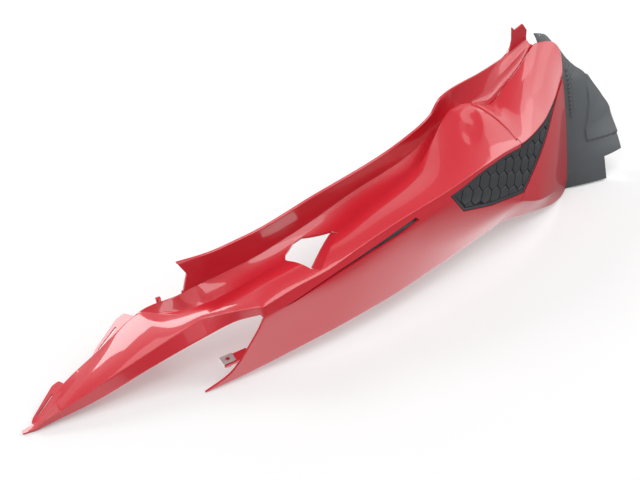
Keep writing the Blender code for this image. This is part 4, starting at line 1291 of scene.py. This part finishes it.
@dataclass
class InnerCover:
    """Black cover behind the tail, with ribs, a raised field, a foot and a top tab."""

    heights: tuple[float, ...] = (1.5, 20, 40, 60, 85, 110, 135, 158, 171)
    ratios: tuple[float, ...] = (0.8, 0.65, 0.5, 0.34, 0.18, 0.07)
    edge: tuple[Triple, ...] = (
        (948, 8, 1.5), (949, 19, 18), (950, 30, 37), (952, 48, 58), (952, 72, 86), (936, 83, 111),
        (914, 89, 135), (890, 91, 158), (864, 90, 174), (851, 93, 184), (841, 97, 193), (833, 101, 202),
        (825, 105, 211), (809, 113, 226), (796, 119, 228),
    )
    lap: float = 20
    deck_lap: float = 11
    bulge: float = 5
    bulge_way: Triple = (0.25, -0.9, 0.35)
    bulge_span: float = 90
    rise: float = 2.2
    field_outline: Outline = (
        (889, 136), (887, 116), (880, 98), (872, 82), (873, 66), (970, 54), (970, 160), (900, 160),
    )
    rib_first: Pair = (826, 179)
    rib_pitch: Pair = (1.0, -6.2)
    rib_count: int = 12
    rib_height: float = 3.0
    rib_length: float = 16
    rib_lean: float = 40
    foot_x: float = 906
    flange_z: float = 36
    foot_depth: float = 30
    hole: Triple = (802, 114, 228)
    hole_way: Triple = (-0.3, -0.2, 0.93)
    hole_radius: float = 1.8
    hole_reach: float = 15
    lug: Outline = ((912, 29.5), (943.3, 31.3), (943.3, 51), (912, 51))
    lug_heights: Pair = (36.6, 39.1)
    grid: tuple[int, int] = (110, 270)

    def rows(self) -> list[list[Vector]]:
        """Coarse stations from the foot up round the tail.

        Returns:
            One row of points for each station.
        """
        starts = []
        for z in self.heights:
            x = SKIN.tail_end.at(z)[0]
            inward = SKIN.side_normal(x, z) * SKIN.trim_depth
            starts.append([SKIN.side_point(x + d, z) - inward for d in (-self.lap, 2)])
        for f in self.ratios:
            x = SKIN.deck_tail(f)
            inward = SKIN.deck_normal(x, f) * (SKIN.trim_depth + 0.4)
            starts.append([SKIN.deck_point(x + d, f) - inward for d in (-self.deck_lap, 2)])
        result = []
        for near, end in zip(starts, self.edge):
            edge = Vector(end)
            bulge = self.bulge * min(1, (edge - near[1]).length / self.bulge_span)
            row = list(near)
            for f in steps(0, 1, 5)[1:]:
                row.append(near[1].lerp(edge, f) + Vector(self.bulge_way) * bulge * 4 * f * (1 - f))
            result.append(row)
        return result

    def relief(self, point: Vector) -> float:
        """Height of ribs and raised field over the plain cover at a point.

        Args:
            point: Point of the plain cover.

        Returns:
            The height in millimetres.
        """
        lean = math.radians(self.rib_lean)
        height = 0.0
        for i in range(self.rib_count):
            dx = point.x - self.rib_first[0] - i * self.rib_pitch[0]
            dz = point.z - self.rib_first[1] - i * self.rib_pitch[1]
            along = dx * math.cos(lean) + dz * math.sin(lean)
            across = dz * math.cos(lean) - dx * math.sin(lean)
            if -1 < along < self.rib_length + 1:
                ends = fade(along, -1, 1) * (1 - fade(along, self.rib_length - 1, self.rib_length + 1))
                height = max(height, self.rib_height * ends * (1 - fade(abs(across - 1.1), 0.6, 2.0)))
        return height + self.rise * fade(inside(point.x, point.z, self.field_outline), -0.6, 0.6)

    def build(self, material: Material) -> bpy.types.Object:
        """Builds the cover.

        Args:
            material: Its finish.

        Returns:
            The finished piece.
        """
        coarse = self.rows()
        across = [Curve([(k, *p) for k, p in enumerate(row)]) for row in coarse]
        fine = []
        for t in steps(0, len(coarse[0]) - 1, self.grid[0]):
            points = [c.at(t) for c in across]
            along = Curve([(k, *p) for k, p in enumerate(points)])
            fine.append([Vector(along.at(u)) for u in steps(len(coarse) - 1, 0, self.grid[1])])
        bm = surface(fine)
        lifts = {v: v.normal * self.relief(v.co / MM) * MM for v in bm.verts}
        for vert, lift in lifts.items():
            vert.co += lift
        bm = walled(bm, lambda _: SKIN.trim_wall, 0.5)
        notch = [(self.foot_x, -20), (self.foot_x, self.flange_z), (990, self.flange_z), (990, -20)]
        bm = carve(bm, prism(notch, Axis.ACROSS, -60, 120))
        bm = carve(bm, self.foot(), Cut.JOIN)
        way = Vector(self.hole_way).normalized()
        bm = carve(bm, bar(Vector(self.hole), way, self.hole_radius, self.hole_reach))
        bm = carve(bm, prism(rounded(self.lug, 3), Axis.UP, *self.lug_heights), Cut.JOIN)
        return piece("inner_cover_skin", bm, material, ["inner_cover"], 45)

    def foot(self) -> BMesh:
        """Foot that turns inwards along the cover's lower edge.

        Returns:
            The foot.
        """
        front, near = SKIN.side_point(828, 1), Vector(self.edge[0])
        rear_x = self.foot_x - 0.5
        rear_y = front.y + (rear_x - front.x) / (near.x - front.x) * (near.y - front.y)
        outline = [
            (front.x - 6, front.y + SKIN.trim_depth + 0.4), (rear_x, rear_y + 2.5),
            (rear_x, rear_y + self.foot_depth), (front.x + 4, front.y + self.foot_depth),
        ]
        return prism(outline, Axis.UP, 0, SKIN.trim_wall)


def node(tree: Tree, kind: str, inputs: Inputs | None = None, operation: str = "") -> Sockets:
    """Adds a node to a tree.

    Args:
        tree: The tree.
        kind: Its type, without the leading ShaderNode.
        inputs: Sockets to link or values to set, by the input's name or place.
        operation: What a math node does.

    Returns:
        The node's outputs.
    """
    made = tree.nodes.new("ShaderNode" + kind)
    if operation:
        made.operation = operation
    if kind == "Mix":
        made.data_type = "RGBA"
    for key, value in (inputs or {}).items():
        if isinstance(value, bpy.types.NodeSocket):
            tree.links.new(value, made.inputs[key])
        else:
            made.inputs[key].default_value = value
    return made.outputs


class Grain:
    """Node group of fine surface variation, shared by every finish."""

    NAME = "moulded_grain"
    DUST = (0.6, 0.58, 0.55, 1)
    SPECK_SCALE = 900
    SPECK_RANGE = (0.66, 0.8)
    BUMP = 0.0004

    @classmethod
    def group(cls) -> Tree:
        """The group, built once.

        Returns:
            A tree with colour, roughness and normal outputs.
        """
        tree = bpy.data.node_groups.get(cls.NAME)
        if tree:
            return tree
        tree = bpy.data.node_groups.new(cls.NAME, "ShaderNodeTree")
        faces = [("Colour", "Color")] + [(name, "Float") for name in Finish.MEASURES]
        for name, kind in faces:
            tree.interface.new_socket(name, in_out="INPUT", socket_type="NodeSocket" + kind)
        for name, kind in (("Colour", "Color"), ("Roughness", "Float"), ("Normal", "Vector")):
            tree.interface.new_socket(name, in_out="OUTPUT", socket_type="NodeSocket" + kind)
        given, result = tree.nodes.new("NodeGroupInput").outputs, tree.nodes.new("NodeGroupOutput").inputs
        place = node(tree, "TexCoord")["Object"]
        cloud = node(tree, "TexNoise", {"Vector": place, "Scale": given["Cloud"], "Detail": 4})
        grain = node(tree, "TexNoise", {"Vector": place, "Scale": given["Grain"], "Detail": 2})
        speck = node(tree, "TexNoise", {"Vector": place, "Scale": cls.SPECK_SCALE})
        centred = node(tree, "Math", {0: cloud["Fac"], 1: 0.5}, "SUBTRACT")[0]
        tone = node(tree, "Math", {0: centred, 1: given["Tone"], 2: 1.0}, "MULTIPLY_ADD")[0]
        shade = node(tree, "VectorMath", {0: given["Colour"], "Scale": tone}, "SCALE")[0]
        low, high = cls.SPECK_RANGE
        spots = node(tree, "MapRange", {"Value": speck["Fac"], "From Min": low, "From Max": high})[0]
        dusty = node(tree, "Math", {0: spots, 1: given["Dust"]}, "MULTIPLY")[0]
        colour = node(tree, "Mix", {0: dusty, 6: shade, 7: cls.DUST})[2]
        rough = node(tree, "Math", {0: centred, 1: given["Spread"], 2: given["Roughness"]}, "MULTIPLY_ADD")[0]
        bump = node(tree, "Bump", {"Distance": cls.BUMP, "Strength": given["Depth"], "Height": grain["Fac"]})
        for name, socket in (("Colour", colour), ("Roughness", rough), ("Normal", bump["Normal"])):
            tree.links.new(socket, result[name])
        return tree


@dataclass(frozen=True)
class Finish:
    """A moulded or plated finish."""

    MEASURES: ClassVar[tuple[str, ...]] = ("Tone", "Roughness", "Spread", "Cloud", "Grain", "Depth", "Dust")

    name: str
    colour: Triple
    roughness: float
    tone: float = 0.08
    spread: float = 0.04
    cloud: float = 25.0
    grain: float = 400.0
    depth: float = 0.05
    dust: float = 0.0
    metallic: float = 0.0
    coat: float = 0.0
    coat_roughness: float = 0.03

    def material(self) -> Material:
        """Builds the material.

        Returns:
            A material whose grain comes from the shared group.
        """
        mat = bpy.data.materials.new(self.name)
        mat.use_nodes = True
        nodes = mat.node_tree.nodes
        shader, group = nodes["Principled BSDF"], nodes.new("ShaderNodeGroup")
        group.node_tree = Grain.group()
        group.inputs["Colour"].default_value = (*self.colour, 1)
        for name in self.MEASURES:
            group.inputs[name].default_value = getattr(self, name.lower())
        for source, target in (("Colour", "Base Color"), ("Roughness", "Roughness"), ("Normal", "Normal")):
            mat.node_tree.links.new(group.outputs[source], shader.inputs[target])
        shader.inputs["Metallic"].default_value = self.metallic
        shader.inputs["Coat Weight"].default_value = self.coat
        shader.inputs["Coat Roughness"].default_value = self.coat_roughness
        return mat


RED = Finish("gloss_red_paint", (0.60, 0.012, 0.026), 0.34, tone=0.05, grain=160, depth=0.02, coat=1.0)
BLACK = Finish("black_moulding", (0.094, 0.103, 0.111), 0.5, tone=0.15, grain=1800, depth=0.35, dust=0.10)
INSERT = Finish("insert_moulding", (0.040, 0.043, 0.049), 0.5, tone=0.15, grain=1800, depth=0.35, dust=0.05)
STEEL = Finish("plated_nut", (0.52, 0.52, 0.51), 0.34, tone=0.2, spread=0.2, cloud=300, grain=900,
               metallic=0.6)


@dataclass(frozen=True)
class Lamp:
    """Soft rectangular lamp, placed by the direction that it shines from, in degrees."""

    name: str
    azimuth: float
    elevation: float
    width: float
    height: float
    radiance: float
    distance: float = 3.0

    def hang(self) -> None:
        """Makes the lamp; width and height are angles."""
        turn, rise = math.radians(self.azimuth), math.radians(self.elevation)
        way = Vector((math.sin(turn) * math.cos(rise), math.cos(turn) * math.cos(rise), math.sin(rise)))
        data = bpy.data.lights.new(self.name, "AREA")
        data.shape = "RECTANGLE"
        data.size = 2 * self.distance * math.tan(math.radians(self.width / 2))
        data.size_y = 2 * self.distance * math.tan(math.radians(self.height / 2))
        data.energy = self.radiance * math.pi * data.size * data.size_y
        obj = shown(self.name, data)
        obj.location = way * self.distance
        obj.rotation_euler = way.to_track_quat("Z", "Y").to_euler()


@dataclass
class Studio:
    """Camera, floor, world and lamps; the camera's spot is in millimetres from the front tongue."""

    spot: Triple = (31.6, -536.7, 600.0)
    turn: float = 31.6
    pitch: float = 38.0
    focal_pixels: float = 686.0
    frame_pixels: float = 640.0
    sensor: float = 36.0
    world_light: float = 0.24
    floor_size: float = 2.4
    floor_drop: float = 0.0005
    floor_colour: float = 0.70
    # Painted reflection: darker floor colour that only mirrored rays see, away from the object.
    painted_reflection_dark: float = 0.22
    floor_seen: float = 0.18
    # Painted reflection: glow that only mirrored rays see near the object, with the reach over which it fades
    # and its centre.
    painted_reflection_glow: float = 0.9
    painted_reflection_reach: Pair = (0.24, 0.46)
    painted_reflection_heart: float = -0.10
    lamps: tuple[Lamp, ...] = (
        Lamp("ceiling_lamp", 20, 84, 22, 22, 3.4),
        Lamp("right_window", 106, 44, 30, 70, 2.1),
        Lamp("far_window", -27, 40, 18, 17, 7.5),
        Lamp("left_window", -107, 31, 18, 60, 2.9),
        Lamp("high_window", -52, 61, 16, 14, 1.9),
        Lamp("pale_wall", 72, 36, 38, 36, 1.0),
        Lamp("back_wall", 5, 20, 90, 42, 0.45),
        Lamp("room", 175, 62, 70, 36, 0.7),
    )

    def camera(self) -> None:
        """Sets the camera at the photograph's place."""
        turn, pitch = math.radians(self.turn), math.radians(self.pitch)
        right = Vector((math.cos(turn), -math.sin(turn), 0))
        level = Vector((math.sin(turn), math.cos(turn), 0))
        ahead = level * math.cos(pitch) - Vector((0, 0, math.sin(pitch)))
        up = level * math.sin(pitch) + Vector((0, 0, math.cos(pitch)))
        data = bpy.data.cameras.new("photo_camera")
        data.sensor_width = self.sensor
        data.lens = self.focal_pixels / self.frame_pixels * self.sensor
        data.clip_end = 60
        obj = shown("photo_camera", data)
        obj.matrix_world = Matrix((right, up, -ahead)).transposed().to_4x4()
        obj.location = Vector(self.spot) * MM + Lay().shift()
        bpy.context.scene.camera = obj

    def shine(self, tree: Tree) -> None:
        """Sets the floor's colour and glow after the kind of ray that meets it.

        Painted reflection: a ray that the object mirrors finds the floor glowing near the object and painted
        darker away from it.

        Args:
            tree: Node tree of the floor's material.
        """
        path, place = node(tree, "LightPath"), node(tree, "TexCoord")["Object"]
        bent = node(tree, "Math", {0: path["Is Glossy Ray"], 1: path["Is Transmission Ray"]}, "MAXIMUM")[0]
        reach = node(tree, "VectorMath", {0: place, 1: (self.painted_reflection_heart, 0, 0)}, "DISTANCE")["Value"]
        low, high = self.painted_reflection_reach
        near = node(tree, "MapRange", {"Value": reach, "From Min": low, "From Max": high, "To Min": 1.0,
                                       "To Max": 0.0})[0]
        # Painted reflection: mirrored rays near the object see the floor glow, and away from it they see a
        # darker floor colour.
        glow_share = node(tree, "Math", {0: bent, 1: near}, "MULTIPLY")[0]
        away = node(tree, "Math", {0: bent, 1: glow_share}, "SUBTRACT")[0]
        painted_glow = node(tree, "Math", {0: glow_share, 1: self.painted_reflection_glow}, "MULTIPLY")[0]
        seen = {0: path["Is Camera Ray"], 1: self.floor_seen, 2: painted_glow}
        plain, dim = ((grey, grey, grey, 1) for grey in (self.floor_colour, self.painted_reflection_dark))
        shader = tree.nodes["Principled BSDF"]
        tree.links.new(node(tree, "Math", seen, "MULTIPLY_ADD")[0], shader.inputs["Emission Strength"])
        tree.links.new(node(tree, "Mix", {0: away, 6: plain, 7: dim})[2], shader.inputs["Base Color"])

    def world(self) -> None:
        """Plain pale surroundings, white for the camera."""
        world = bpy.data.worlds.new("studio")
        bpy.context.scene.world = world
        world.use_nodes = True
        tree = world.node_tree
        background = tree.nodes["Background"].inputs
        background["Color"].default_value = (1, 1, 1, 1)
        seen = node(tree, "LightPath")["Is Camera Ray"]
        level = node(tree, "MapRange", {"Value": seen, "To Min": self.world_light, "To Max": 1.0})[0]
        tree.links.new(level, background["Strength"])

    def floor(self) -> None:
        """Pale floor that keeps the object's shadow."""
        bm = bmesh.new()
        bmesh.ops.create_grid(bm, x_segments=1, y_segments=1, size=self.floor_size)
        mat = bpy.data.materials.new("floor_paper")
        mat.use_nodes = True
        shader = mat.node_tree.nodes["Principled BSDF"].inputs
        shader["Roughness"].default_value = 0.9
        shader["Specular IOR Level"].default_value = 0.0
        shader["Emission Color"].default_value = (1, 1, 1, 1)
        self.shine(mat.node_tree)
        obj = shown("floor", baked("floor", bm))
        obj.data.materials.append(mat)
        obj.location.z = -self.floor_drop

    def build(self) -> None:
        """Sets the whole studio."""
        self.camera()
        self.world()
        self.floor()
        for lamp in self.lamps:
            lamp.hang()
        bpy.context.scene.view_settings.view_transform = "Standard"


def main() -> None:
    """Builds the looks of the fairing."""
    logging.basicConfig(level=logging.INFO, format="%(message)s")
    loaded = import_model()
    Studio().build()
    red, black, insert, steel = (finish.material() for finish in (RED, BLACK, INSERT, STEEL))
    SidePanel().build(red)
    UpperTailPanel().build(red)
    LowerTailPanel().build(red)
    HoneycombInsert().build(insert)
    InnerCover().build(black)
    for name, part in loaded["nodes"].items():
        finish = steel if "nut" in name or "screw" in name else black
        if not part.hide_render:
            for slot in part.material_slots:
                slot.material = finish


if __name__ == "__main__":
    main()
